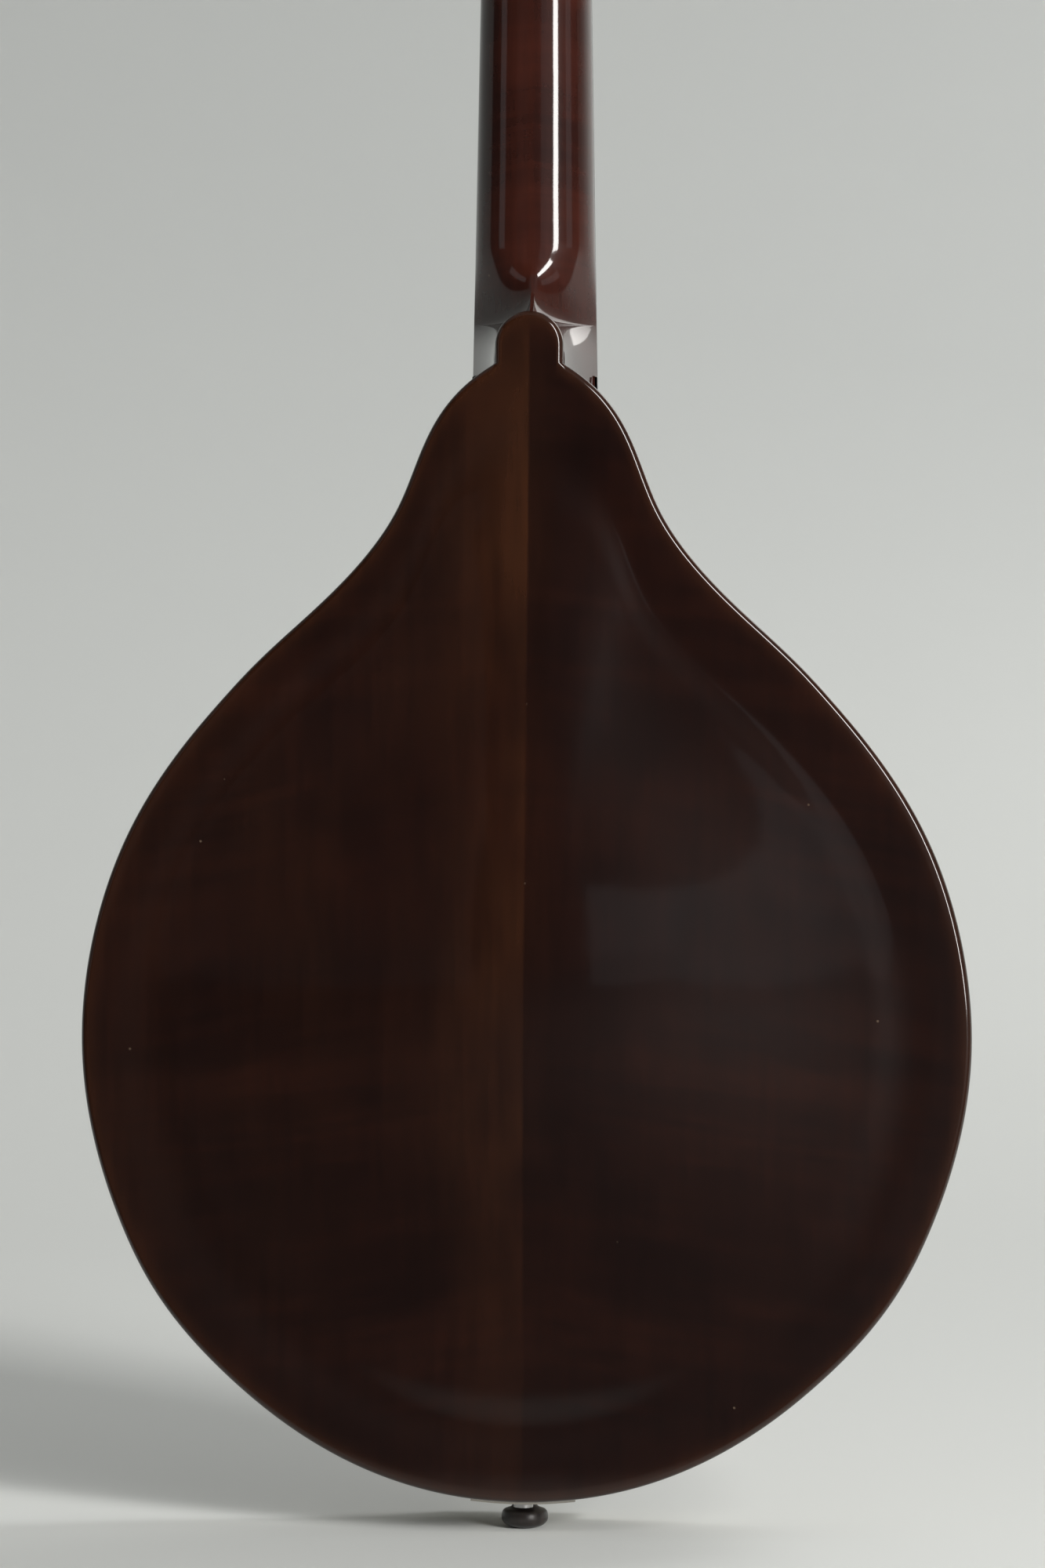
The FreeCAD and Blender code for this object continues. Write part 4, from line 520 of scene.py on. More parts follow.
def hole_ring(grow, count=220):
    """Points on the sound hole's ellipse, grown outwards by a distance."""
    turn = np.linspace(0, TAU, count, endpoint=False)
    unit = np.c_[np.cos(turn), np.sin(turn)]
    normal = unit / HOLE
    normal /= np.linalg.norm(normal, axis=1)[:, None]
    return HOLE_MIDDLE + unit * HOLE + normal * grow


def rosette_islands():
    """The inlaid ring: rings of the hole's ellipse grown outwards, lying on the top's arch, with a mask
    across it."""
    grow = np.r_[np.linspace(*ROSETTE, 13), ROSETTE[1], ROSETTE[0]]
    sink = np.r_[np.full(13, 0.00004), -0.0006, -0.0006]
    plan = np.stack([hole_ring(g) for g in grow])
    height = FRONT + arch(plan[..., 0], plan[..., 1], ARCH_TOP) + sink[:, None]
    across = np.broadcast_to(((grow - ROSETTE[0]) / (ROSETTE[1] - ROSETTE[0]))[:, None], height.shape)
    return round_the_section(plan, height), {"across": np.r_[across.ravel(), across[0]]}


def binding_islands():
    """The binding: a section as wide and deep as its strip, its outer corner round, carried round the
    outline."""
    s = sizes()
    rim, inward = whole_rim(count=300)
    r = s.edge_round * 0.6
    turn = np.linspace(0, RIGHT_ANGLE, 6)
    inset = np.r_[s.binding, r - r * np.sin(turn), 0, s.binding]
    drop = np.r_[0, r - r * np.cos(turn), BINDING_DEPTH, BINDING_DEPTH]
    plan = rim[None] + inward[None] * inset[:, None, None]
    shrunk = np.array((0.0, CROWN)) + (rim - (0.0, CROWN)) * 0.985
    over = FRONT + arch(shrunk[:, 0], shrunk[:, 1], ARCH_TOP)
    return round_the_section(plan, np.maximum(over, FRONT)[None] - drop[:, None])


def rib_islands(side):
    """One bent side: a section of the rib's thickness by the depth between plate and binding, along half the
    rim."""
    s = sizes()
    rim, inward = (part * (side, 1.0) for part in even(*half_rim(900), 260))
    inset = np.array((0, 0, 0, 1, 1, 1)) * s.rib
    back, front = -(FRONT - s.plate), FRONT - BINDING_DEPTH
    level = np.array((back, 0, front, front, 0, back))
    plan = rim[:, None] + inward[:, None] * inset[None, :, None]
    points = np.stack([plan[..., 0], -np.broadcast_to(level, plan.shape[:2]), plan[..., 1]], -1)
    inside = np.broadcast_to(inset > 0, plan.shape[:2]).astype(float)
    return closed_grid(points), {"inside": cap(inside)}


# ---------------------------------------------------------------- the neck
def neck_half(v):
    """Half the neck's width at v."""
    s = sizes()
    share = (s.nut_reach - v) / s.nut_reach
    return (s.neck_width_nut + (s.neck_width_joint - s.neck_width_nut) * share) / 2


def neck_depth(v):
    """Depth of the neck's wood: the heel, a quarter ellipse up from it and the slim shaft."""
    s = sizes()
    low_v, high_v = TONGUE, TONGUE + s.heel_sweep
    heel = 2 * FRONT - s.plate + s.neck_rise + 0.004
    slim = s.neck_depth_joint + (s.neck_depth_nut - s.neck_depth_joint) * (v - high_v) / (s.nut_reach - high_v)
    part = np.clip((high_v - v) / s.heel_sweep, 0, 1)
    swept = heel - (heel - slim) * np.sqrt(np.clip(1 - part ** 2, 0, 1))
    return np.where(v <= low_v, heel, np.where(v >= high_v, slim, swept))


def ridge_half(v):
    """Half the width of the heel's foot, closing round the tongue to the shaft's keel."""
    r = sizes().button_width / 2
    beyond = np.clip(v - (TONGUE - r), 0, r)
    return np.maximum(np.sqrt(np.clip(r * r - beyond * beyond, 0, None)), 0.0005)


def neck_section(half, keel, depth, flank, fall, turn):
    """x = keel + (half - keel) cos^flank, n = -depth sin^fall."""
    x = keel + (half - keel) * np.clip(np.cos(turn), 0, 1) ** flank
    return x, -depth * np.clip(np.sin(turn), 0, 1) ** fall


def neck_rows(v, turn):
    """Sections of the neck at v (any shape), clipped behind by the inner face of the back's tongue."""
    s = sizes()
    t = ease((v - TONGUE * 0.8) / 0.026)
    flank, fall, depth = 3 - 2 * t, 2 - t, neck_depth(v)
    limit = (2 * FRONT - s.plate + s.neck_rise - v * math.sin(s.neck_angle)) / math.cos(s.neck_angle)
    last = np.arcsin(np.clip(limit / depth, 0, 1) ** (1 / fall))
    return neck_section(neck_half(v), ridge_half(v), depth, flank, fall, turn * last / RIGHT_ANGLE)


def neck_islands():
    """The neck's stick as a grid of half sections, mirrored, and the peghead's slab."""
    s = sizes()
    turn = np.linspace(0, 1, 41) ** 0.9 * RIGHT_ANGLE
    place, head = neck_place(), head_place()
    joint = np.zeros_like(turn)
    for _ in range(3):
        joint = -neck_rows(joint, turn)[1] * math.tan(s.neck_angle)
    shaft_start, r = TONGUE + s.heel_sweep, s.button_width / 2
    near = [joint * (1 - k) + k * 0.0052 for k in np.linspace(0, 1, 5)]
    round_v = TONGUE - r + r * np.sin(np.linspace(0, RIGHT_ANGLE, 12))[1:-1]
    sweep_v = shaft_start - s.heel_sweep * np.cos(np.linspace(0, RIGHT_ANGLE, 30))
    shaft_v = np.linspace(shaft_start, s.nut_reach + NUT_THICK - 0.005, 60)[1:]
    grid = []
    for start in (np.full_like(turn, -0.012), joint):
        x, n = neck_rows(start, turn)
        body_top = (start * math.sin(s.neck_angle) - s.neck_rise) / math.cos(s.neck_angle)
        grid.append((place, x, start, np.minimum(n, body_top)))
    for v in near + [np.full_like(turn, v) for v in np.r_[round_v, sweep_v, shaft_v]]:
        x, n = neck_rows(v, turn)
        grid.append((place, x, v, n))
    for y in np.linspace(0.001, 0.011, 11):
        power = 1 - 0.4 * y / 0.011
        x, n = neck_section(head_half(y), 0.0005, s.head_thick, power, power, turn)
        grid.append((head, x, np.full_like(turn, y), n))
    rings = [np.concatenate([p(x, v, n), p(-x, v, n)[::-1]]) for p, x, v, n in grid]
    return [closed_grid(np.stack(rings)), head_slab(-s.head_thick, 0.0, 0.007, 0.0014, 0.0)]


def head_outline():
    """The peghead's outline once round from its foot on the treble side, each shoulder a smooth curve."""
    half, widest = sizes().neck_width_nut / 2, 0.030
    shoulder = smooth_through(np.array([(half, 0), (half + 0.0008, 0.006), (half + 0.0055, 0.0102),
                                        (widest - 0.0035, 0.0146), (widest, 0.021)]), 40)
    brow, bend, crown = np.array([(0.0335, 0.122), (0.02211, 0.1375), (0.0, 0.146)])
    side = np.linspace(shoulder[-1], brow, 20)[1:]
    right = np.concatenate([shoulder, side, arc_through(brow, bend, crown, 40)[1:]])
    return np.concatenate([right, right[-2::-1] * (-1.0, 1.0)])


def head_half(y):
    """Half the peghead's width near its foot."""
    outline = head_outline()[:40]
    return float(np.interp(y, outline[:, 1], outline[:, 0]))


def smooth_through(knots, count):
    """A natural cubic spline through knots, by solving for its second derivatives."""
    steps = np.r_[0, np.cumsum(np.linalg.norm(np.diff(knots, axis=0), axis=1))]
    h = np.diff(steps)
    n = len(knots)
    system, right = np.eye(n), np.zeros((n, 2))
    for i in range(1, n - 1):
        system[i, i - 1:i + 2] = h[i - 1], 2 * (h[i - 1] + h[i]), h[i]
        right[i] = 6 * ((knots[i + 1] - knots[i]) / h[i] - (knots[i] - knots[i - 1]) / h[i - 1])
    bend = np.linalg.solve(system, right)
    at = np.linspace(0, steps[-1], count)
    k = np.clip(np.searchsorted(steps, at, side="right") - 1, 0, n - 2)
    a, b = ((steps[k + 1] - at) / h[k])[:, None], ((at - steps[k]) / h[k])[:, None]
    sag = ((a ** 3 - a) * bend[k] + (b ** 3 - b) * bend[k + 1]) * (h[k] ** 2)[:, None] / 6
    return a * knots[k] + b * knots[k + 1] + sag


def arc_through(a, b, c, count):
    """Points on the circle through three points, from the first to the last."""
    system = 2 * np.array([b - a, c - a])
    centre = np.linalg.solve(system, np.array([b @ b - a @ a, c @ c - a @ a]))
    start, end = (math.atan2(*(p - centre)[::-1]) for p in (a, c))
    end = start + (end - start + math.pi) % TAU - math.pi
    turn = np.linspace(start, end, count)
    return centre + np.linalg.norm(a - centre) * np.c_[np.cos(turn), np.sin(turn)]


def head_slab(low_n, high_n, foot, round_back, round_front):
    """The peghead's outline between two depths, with a quarter circle round its back and front edges."""
    outline = head_outline()
    outline = outline[outline[:, 1] >= foot]
    base = np.linspace((outline[-1, 0], foot), (outline[0, 0], foot), 30)
    outline = np.r_[outline, base]
    along = np.roll(outline, -1, 0) - np.roll(outline, 1, 0)
    inward = np.c_[-along[:, 1], along[:, 0]]
    inward /= np.maximum(np.linalg.norm(inward, axis=1), 1e-9)[:, None]
    turn = np.linspace(0, RIGHT_ANGLE, 6)
    inset = np.r_[round_back * (1 - np.sin(turn)), round_front * (1 - np.sin(turn[::-1]))]
    level = np.r_[low_n + round_back * (1 - np.cos(turn)), high_n - round_front * (1 - np.cos(turn[::-1]))]
    plan = outline[None] + inward[None] * inset[:, None, None]
    return closed_grid(head_place()(plan[..., 0], plan[..., 1],
                                    np.broadcast_to(level[:, None], plan.shape[:2])))


# ---------------------------------------------------------------- tuners, strings and bridge wheels
# place across, name, string diameter, side of the peghead, first post's place from the nut, turns on the post
Course = namedtuple("Course", "order name wire side first_post turns")
COURSES = (Course(0, "g", 0.00102, -1, 0, 3), Course(1, "d", 0.00066, -1, 2, 4),
           Course(2, "a", 0.00038, 1, 2, 5), Course(3, "e", 0.00028, 1, 0, 6))


def string_slot(pair):
    """The two thick pairs are wound."""
    return "bronze_wound" if pair.name in "gd" else "steel"


def facing(pair, number):
    """The post of a string, or the string of a post: the treble side counts them the other way round."""
    return number if pair.side < 0 else 1 - number


def post_at(pair, number):
    """Centre of one of a pair's two posts in the peghead's frame."""
    s = sizes()
    return np.array((pair.side * s.post_row / 2, s.first_post + (pair.first_post + number) * s.post_pitch))


def gear_island(x, v):
    """The toothed gear on a post: r = root + height of a wave with flattened crests, one for each tooth."""
    teeth = sizes().gear_teeth
    bottom, top = WORM_LEVEL - 0.0015, WORM_LEVEL + 0.0015
    turn = np.linspace(0, TAU, teeth * 12, endpoint=False)
    wave = np.clip(np.cos(turn * teeth) * 1.6, -1, 1) * 0.5 + 0.5
    radius = (0.0039 + 0.00088 * wave) * np.array((0.55, 0.93, 1.0, 1.0, 0.93, 0.5))[:, None]
    rise = np.array((bottom, bottom, bottom + 0.0003, top - 0.0003, top, top))[:, None] + 0 * turn
    return closed_grid(head_place()(x + radius * np.cos(turn), v + radius * np.sin(turn), rise))


def post_islands(pair, number):
    """Turned barrel, toothed gear and its screw, each an island."""
    head = head_place()
    x, v = post_at(pair, number)
    barrel = [(0.0021, PLATE_BACK - 0.0012), (BARREL, PLATE_BACK - 0.0010), (BARREL, 0.0035),
              (0.00285, 0.0040),
              (0.0026, 0.0062), (0.0026, 0.0098), (0.00285, 0.0112), (BARREL, 0.0118),
              (BARREL, POST_TOP - 0.0005),
              (0.0025, POST_TOP - 0.0001), (0.0012, POST_TOP), (0.0010, POST_TOP - 0.0007)]
    seat = WORM_LEVEL - 0.0015
    screw = [(0.0024, seat + 0.0002), (0.0025, seat - 0.0004), (0.0021, seat - 0.0010),
             (0.0009, seat - 0.0011), (0.0008, seat - 0.0006)]
    return [turned(barrel, head, x, v, 40), gear_island(x, v), turned(screw, head, x, v, 28)]


def winding_island(pair, number):
    """The string wound on its post: a tube along a helix that rises a little over its own width each turn."""
    x, v = post_at(pair, number)
    start, swing = string_route(pair, facing(pair, number))[1]
    wind = np.linspace(0, pair.turns, pair.turns * 26)
    angle = start + swing * TAU * wind
    radius = BARREL + pair.wire / 2
    rise = WRAP_LEVEL + pair.wire * 1.03 * wind
    return tube(head_place()(x + radius * np.cos(angle), v + radius * np.sin(angle), rise), pair.wire / 2, 10)


def loop_of(pair, string):
    """Middle of a string's loop on the tailpiece, the loop's radius and its thickness."""
    twist = 1.3 * pair.wire / 2
    return (2 * pair.order + string - 3.5) * HOOK_SPACING, HOOK_HEIGHT, HOOK_RADIUS + twist + 0.00003, twist


def string_route(pair, string):
    """Hook, saddle, both edges of the nut and the touch on the post; the angle of the touch and the way it
    winds."""
    neck, head, s = neck_place(), head_place(), sizes()
    at_nut = (pair.order - 1.5) * NUT_SPREAD / 3 + (string - 0.5) * 0.0022
    at_saddle = (pair.order - 1.5) * SADDLE_SPREAD / 3 + (string - 0.5) * 0.0028
    hook_x, hook_v, loop, _ = loop_of(pair, string)
    hook = TAILPIECE(hook_x, hook_v + loop, HOOK_LEVEL)
    saddle = np.array((at_saddle, SADDLE_CREST + 0.0001, SADDLE_HEIGHT))
    nut_front, nut_back = (neck(at_nut, s.nut_reach + past, STRING_LEVEL) for past in (0, NUT_THICK))
    post = post_at(pair, facing(pair, string))
    leave = np.array((at_nut, float((nut_back - head.origin) @ head.up)))
    away = leave - post
    reach = BARREL + pair.wire / 2 + 0.00005
    turn = math.atan2(away[1], away[0]) - pair.side * math.acos(reach / np.linalg.norm(away))
    touch = post + reach * np.array((math.cos(turn), math.sin(turn)))
    travel = touch - leave
    swing = 1.0 if math.cos(turn) * travel[1] > math.sin(turn) * travel[0] else -1.0
    return [hook, saddle, nut_front, nut_back, head(touch[0], touch[1], WRAP_LEVEL)], (turn, swing)


def loop_island(pair, string):
    """A string's loop: a circle of the twisted wire's section carried round the hook."""
    middle_x, middle_v, loop, twist = loop_of(pair, string)
    turn = np.linspace(0, TAU, 33)[:-1, None]
    ring = np.linspace(0, TAU, 10, endpoint=False)
    radius = loop + twist * np.cos(ring)
    points = TAILPIECE(middle_x + radius * np.cos(turn), middle_v + radius * np.sin(turn),
                       HOOK_LEVEL + twist * np.sin(ring) + 0 * turn)
    return np.concatenate([points, points[:1]]), [tuple(f) for f in grid_faces(33, 10, True)]


def string_islands(pair):
    """The speaking and the tail lengths of a pair, as tubes, with the loops at the tail."""
    speaking, tail = [], []
    for string in (0, 1):
        hook, saddle, nut_front, nut_back, touch = string_route(pair, string)[0]
        path = np.concatenate([np.linspace(saddle, nut_front, 90), np.linspace(nut_front, nut_back, 5)[1:],
                               np.linspace(nut_back, touch, 20)[1:]])
        speaking.append(tube(path, pair.wire / 2, 10))
        tail += [tube(np.linspace(hook, saddle, 50), pair.wire / 2, 10), loop_island(pair, string)]
    return speaking, tail


def worm_islands(pair, number):
    """Spindle and worm: r = root + height of a ridge that advances one pitch a turn along the spindle."""
    head, side = head_place(), pair.side
    x, v = post_at(pair, number) - (0, WORM_DROP)
    turn = np.linspace(0, TAU, 36, endpoint=False)
    along = np.linspace(-WORM_HALF, WORM_HALF, 150)[:, None]
    ridge = 0.5 + 0.5 * np.clip(1.5 * np.cos(TAU * along / sizes().worm_pitch - turn), -1, 1)
    fade = np.clip((WORM_HALF - np.abs(along)) / 0.0006, 0, 1)
    radius = 0.0019 + 0.00075 * ridge * fade
    thread = head(x + along + 0 * turn, v + radius * np.cos(turn), WORM_LEVEL + radius * np.sin(turn))
    start, end = x - side * 0.0064, side * (SPINDLE_END + 0.001)
    profile = np.array([(start, 0.0013), (start + side * 0.0003, 0.0016), (end - side * 0.0016, 0.0016),
                        (end - side * 0.0010, 0.0024), (end, 0.0030), (end + side * 0.001, 0.0030)])
    reach, radius = profile[:, :1] + 0 * turn, profile[:, 1:]
    rod = head(reach, v + radius * np.cos(turn), WORM_LEVEL + radius * np.sin(turn))
    return [closed_grid(thread), closed_grid(rod)]


def signed_power(value, exponent):
    """A power that keeps the sign."""
    return np.sign(value) * np.abs(value) ** exponent


def button_islands(pair, number):
    """Tuner button, a superellipsoid: each half axis times cos^e or sin^e of two angles, waisted at the
    spindle."""
    half_long, half_wide, half_thick = 0.0065, 0.00725, 0.0032
    v = post_at(pair, number)[1] - WORM_DROP
    middle = pair.side * (SPINDLE_END + half_long)
    tilt = np.linspace(-RIGHT_ANGLE, RIGHT_ANGLE, 41)[1:-1, None]
    turn = np.linspace(0, TAU, 64, endpoint=False)[None]
    girth = signed_power(np.cos(tilt), 0.45)
    across = girth * signed_power(np.cos(turn), 0.92) * half_long
    wide = girth * signed_power(np.sin(turn), 0.92) * half_wide
    waist = 1 - 0.16 * ease((0.1 - across / half_long) / 1.1)
    thick = signed_power(np.sin(tilt), 0.62) * half_thick * (1 - 0.12 * (1 - girth ** 2))
    return [closed_grid(head_place()(middle + pair.side * across, v + wide * waist, WORM_LEVEL + thick))]


def wheel_islands(name):
    """Bridge thumbwheel: a disc whose rim is r - depth |sin|, rounded at both faces."""
    corner, other = low(name), high(name)
    centre, half = (corner + other) / 2, (other - corner) / 2
    turn = np.linspace(0, TAU, 288, endpoint=False)
    knurl = half[0] - 0.00035 * np.abs(np.sin(turn * 24))
    share = np.array((0.32, 0.88, 0.97, 1.0, 1.0, 0.97, 0.88, 0.32))[:, None]
    level = np.array((-1, -1, -0.9, -0.7, 0.7, 0.9, 1, 1))[:, None] * half[1]
    x, z = centre[0] + knurl * share * np.cos(turn), centre[2] + knurl * share * np.sin(turn)
    return [closed_grid(np.stack(np.broadcast_arrays(x, centre[1] + level, z), -1))]


def pin_islands():
    """The end pin, turned: its tip, a rounded land, a cove and the waist, then the straight shank in the
    body."""
    curve = [(0.0024, 0.0), (0.0040, 0.0003), (0.0055, 0.0009), (0.0062, 0.0015), (0.0066, 0.0022),
             (0.0066, 0.0042), (0.0063, 0.0049), (0.0053, 0.0055), (0.0042, 0.0059), (0.0036, 0.0066),
             (0.0035, 0.0076), (0.0037, 0.0087), (0.0040, 0.0093)]
    shank = [(0.0032, 0.0094), (0.0032, 0.016)]
    rows = np.r_[smooth_through(np.array(curve), 60), shank]
    rows[:, 1] = np.maximum(rows[:, 1], 0.0)
    turn = np.linspace(0, TAU, 56, endpoint=False)
    points = np.stack([rows[:, :1] * np.cos(turn), rows[:, :1] * np.sin(turn), rows[:, 1:] + 0 * turn], -1)
    return [closed_grid(points)]


# ---------------------------------------------------------------- shader helpers
def add(tree, kind, values=None, links=None, **settings):
    """A node with its settings, constant inputs and links into its inputs."""
    made = tree.nodes.new(kind)
    for key, value in settings.items():
        setattr(made, key, value)
    for key, value in (values or {}).items():
        made.inputs[key].default_value = value
    for key, source in (links or {}).items():
        tree.links.new(source, made.inputs[key])
    return made


def math_node(tree, operation, a, b=0.0, clamp=False):
    """A math node over two sockets or numbers; returns its output."""
    made = tree.nodes.new("ShaderNodeMath")
    made.operation, made.use_clamp = operation, clamp
    for i, value in enumerate((a, b)):
        if isinstance(value, (int, float)):
            made.inputs[i].default_value = value
        else:
            tree.links.new(value, made.inputs[i])
    return made.outputs[0]


def times(tree, a, b, clamp=False):
    """Product of two sockets or numbers."""
    return math_node(tree, "MULTIPLY", a, b, clamp)


def plus(tree, a, b, clamp=False):
    """Sum of two sockets or numbers."""
    return math_node(tree, "ADD", a, b, clamp)


def less(tree, a, b, clamp=False):
    """The first less the second."""
    return math_node(tree, "SUBTRACT", a, b, clamp)


def weighed(tree, first, share, second, other, clamp=False):
    """Two values, each by its share, summed."""
    return plus(tree, times(tree, first, share), times(tree, second, other), clamp)


def ramp(tree, source, low_value, high_value):
    """Maps a value between two limits onto 0 to 1, level at both ends."""
    return add(tree, "ShaderNodeMapRange", {"From Min": low_value, "From Max": high_value}, {"Value": source},
               interpolation_type="SMOOTHSTEP").outputs["Result"]


def blend_colours(tree, factor, first, second, mode="MIX"):
    """A colour mix; each colour is a socket or a tuple."""
    made = add(tree, "ShaderNodeMix", data_type="RGBA", blend_type=mode)
    for index, value in ((0, factor), (6, first), (7, second)):
        if isinstance(value, (int, float)):
            made.inputs[index].default_value = value
        elif isinstance(value, tuple):
            made.inputs[index].default_value = (*value, 1.0)
        else:
            tree.links.new(value, made.inputs[index])
    return made.outputs[2]


def vector_math(tree, operation, vector, by=(0, 0, 0)):
    """A vector node of a vector and a constant; returns the node."""
    made = add(tree, "ShaderNodeVectorMath", links={0: vector}, operation=operation)
    made.inputs[1].default_value = by
    return made


def noise(tree, vector, scale, detail=3.0, roughness=0.5, distortion=0.0):
    """Noise read at a scale, one number or one for each axis; returns its value."""
    if isinstance(scale, tuple):
        vector, scale = vector_math(tree, "MULTIPLY", vector, scale).outputs[0], 1.0
    return add(tree, "ShaderNodeTexNoise", {"Scale": scale, "Detail": detail, "Roughness": roughness,
                                            "Distortion": distortion}, {"Vector": vector}).outputs["Fac"]


def axes_of(tree, vector):
    """The x, y and z of a vector."""
    return add(tree, "ShaderNodeSeparateXYZ", links={0: vector}).outputs


def new_group(name, outputs):
    """An empty node group that reads a vector and puts out named values; returns the tree, the vector, the
    outlet."""
    tree = bpy.data.node_groups.new(name, "ShaderNodeTree")
    tree.interface.new_socket("Vector", in_out="INPUT", socket_type="NodeSocketVector")
    for label in outputs:
        tree.interface.new_socket(label, in_out="OUTPUT", socket_type="NodeSocketFloat")
    return tree, tree.nodes.new("NodeGroupInput").outputs["Vector"], tree.nodes.new("NodeGroupOutput").inputs


def use_group(tree, group, vector):
    """A group node that reads a vector; returns its outputs."""
    made = tree.nodes.new("ShaderNodeGroup")
    made.node_tree = group
    tree.links.new(vector, made.inputs[0])
    return made.outputs


FINISH = "finish_"       # keeps these apart from the materials that come with the frame


def new_material(name, **plain):
    """A material with its tree, its shader and the object's own coordinates; plain inputs by their names."""
    material = bpy.data.materials.new(FINISH + name)
    material.use_nodes = True
    tree = material.node_tree
    tree.nodes.clear()
    shader = tree.nodes.new("ShaderNodeBsdfPrincipled")
    for label, value in plain.items():
        shader.inputs[label.replace("_", " ")].default_value = value
    outlet = tree.nodes.new("ShaderNodeOutputMaterial")
    tree.links.new(shader.outputs[0], outlet.inputs["Surface"])
    return material, tree, shader.inputs, tree.nodes.new("ShaderNodeTexCoord").outputs["Object"]


def finish_named(name):
    """A finish that the finishes step has made."""
    material = bpy.data.materials.get(FINISH + name)
    if material is None:
        raise RuntimeError(f"the finish {name} isn't made yet")
    return material


def mask(tree, name):
    """A mask stored on the mesh, nothing where the mesh has none."""
    return add(tree, "ShaderNodeAttribute", attribute_name=name, attribute_type="GEOMETRY").outputs["Fac"]


def raised(tree, height, strength, distance):
    """The normal of a surface raised by a height."""
    return add(tree, "ShaderNodeBump", {"Strength": strength, "Distance": distance},
               {"Height": height}).outputs[0]


# ---------------------------------------------------------------- finishes
def figure_group():
    """Flame bands across bookmatched halves, fine grain along them and the drift of a stain worked in by hand.
    """
    tree, vector, out = new_group("maple_figure", ("Flame", "Grain", "Drift"))
    x, y, z = axes_of(tree, vector)
    away = math_node(tree, "ABSOLUTE", x)
    tilted = plus(tree, z, times(tree, away, 0.16))
    matched = add(tree, "ShaderNodeCombineXYZ", links={0: away, 1: y, 2: tilted}).outputs[0]
    wide = noise(tree, matched, (9.0, 3.0, 62.0), 2.0, 0.55, 1.1)
    fine = noise(tree, matched, (24.0, 8.0, 210.0), 3.0, 0.6, 0.8)
    patch = noise(tree, matched, (7.0, 7.0, 9.0), 2.0)
    bands = weighed(tree, wide, 0.65, fine, 0.35)
    tree.links.new(times(tree, ramp(tree, bands, 0.40, 0.66), ramp(tree, patch, 0.30, 0.66)), out["Flame"])
    tree.links.new(noise(tree, vector, (420.0, 160.0, 24.0), 4.0, 0.62), out["Grain"])
    tree.links.new(noise(tree, vector, 16.0, 3.0, 0.5, 0.6), out["Drift"])
    return tree


def waviness(tree, vector):
    """Height of brushed lacquer: slow waves with a little orange peel on them."""
    slow = noise(tree, vector, 34.0, 2.0, 0.4)
    fast = noise(tree, vector, 260.0, 2.0, 0.4)
    return plus(tree, slow, times(tree, fast, 0.05))


def wear_group():
    """Dust specks, hairline scratches and the soft waviness of brushed lacquer."""
    tree, vector, out = new_group("lacquer_wear", ("Specks", "Hairlines", "Wave"))
    cells = add(tree, "ShaderNodeTexVoronoi", {"Scale": 150.0, "Randomness": 1.0}, {"Vector": vector}).outputs
    pick = ramp(tree, add(tree, "ShaderNodeSeparateColor", links={0: cells["Color"]}).outputs[0], 0.93, 0.97)
    dot = less(tree, 1.0, ramp(tree, cells["Distance"], 0.02, 0.075))
    tree.links.new(times(tree, pick, dot), out["Specks"])
    slanted = add(tree, "ShaderNodeVectorRotate", {"Angle": 0.5}, {"Vector": vector},
                  rotation_type="Y_AXIS").outputs[0]
    streak = noise(tree, slanted, (6.0, 6.0, 420.0), 2.0, 0.5, 0.35)
    thin = less(tree, 1.0, ramp(tree, math_node(tree, "ABSOLUTE", less(tree, streak, 0.5)), 0.0, 0.006))
    where = ramp(tree, noise(tree, vector, 30.0, 2.0), 0.60, 0.70)
    tree.links.new(times(tree, thin, where), out["Hairlines"])
    tree.links.new(waviness(tree, vector), out["Wave"])
    return tree


def seam_light(tree, vector, glow):
    """Where the stain thins beside the centre seam: strong on the treble half, faint on the bass half."""
    x, _, z = axes_of(tree, vector)
    treble = times(tree, ramp(tree, x, 0.030, 0.001), ramp(tree, x, -0.0006, 0.0006))
    bass = times(tree, ramp(tree, x, -0.012, 0.0), 0.22)
    up = plus(tree, times(tree, ramp(tree, z, TAIL + 0.03, CROWN - 0.02), 0.8), 0.2)
    uneven = ramp(tree, noise(tree, vector, (30.0, 30.0, 12.0)), 0.2, 0.9)
    return times(tree, times(tree, times(tree, plus(tree, treble, bass), glow), up), uneven, True)


def sunburst(tree, vector, middle, reach):
    """One at a middle, fading to nothing on the ellipsoid of a reach along each axis."""
    out = vector_math(tree, "SUBTRACT", vector, middle).outputs[0]
    scaled = vector_math(tree, "MULTIPLY", out, tuple(1 / r for r in reach)).outputs[0]
    return less(tree, 1.0, ramp(tree, vector_math(tree, "LENGTH", scaled).outputs["Value"], 0.15, 1.0))


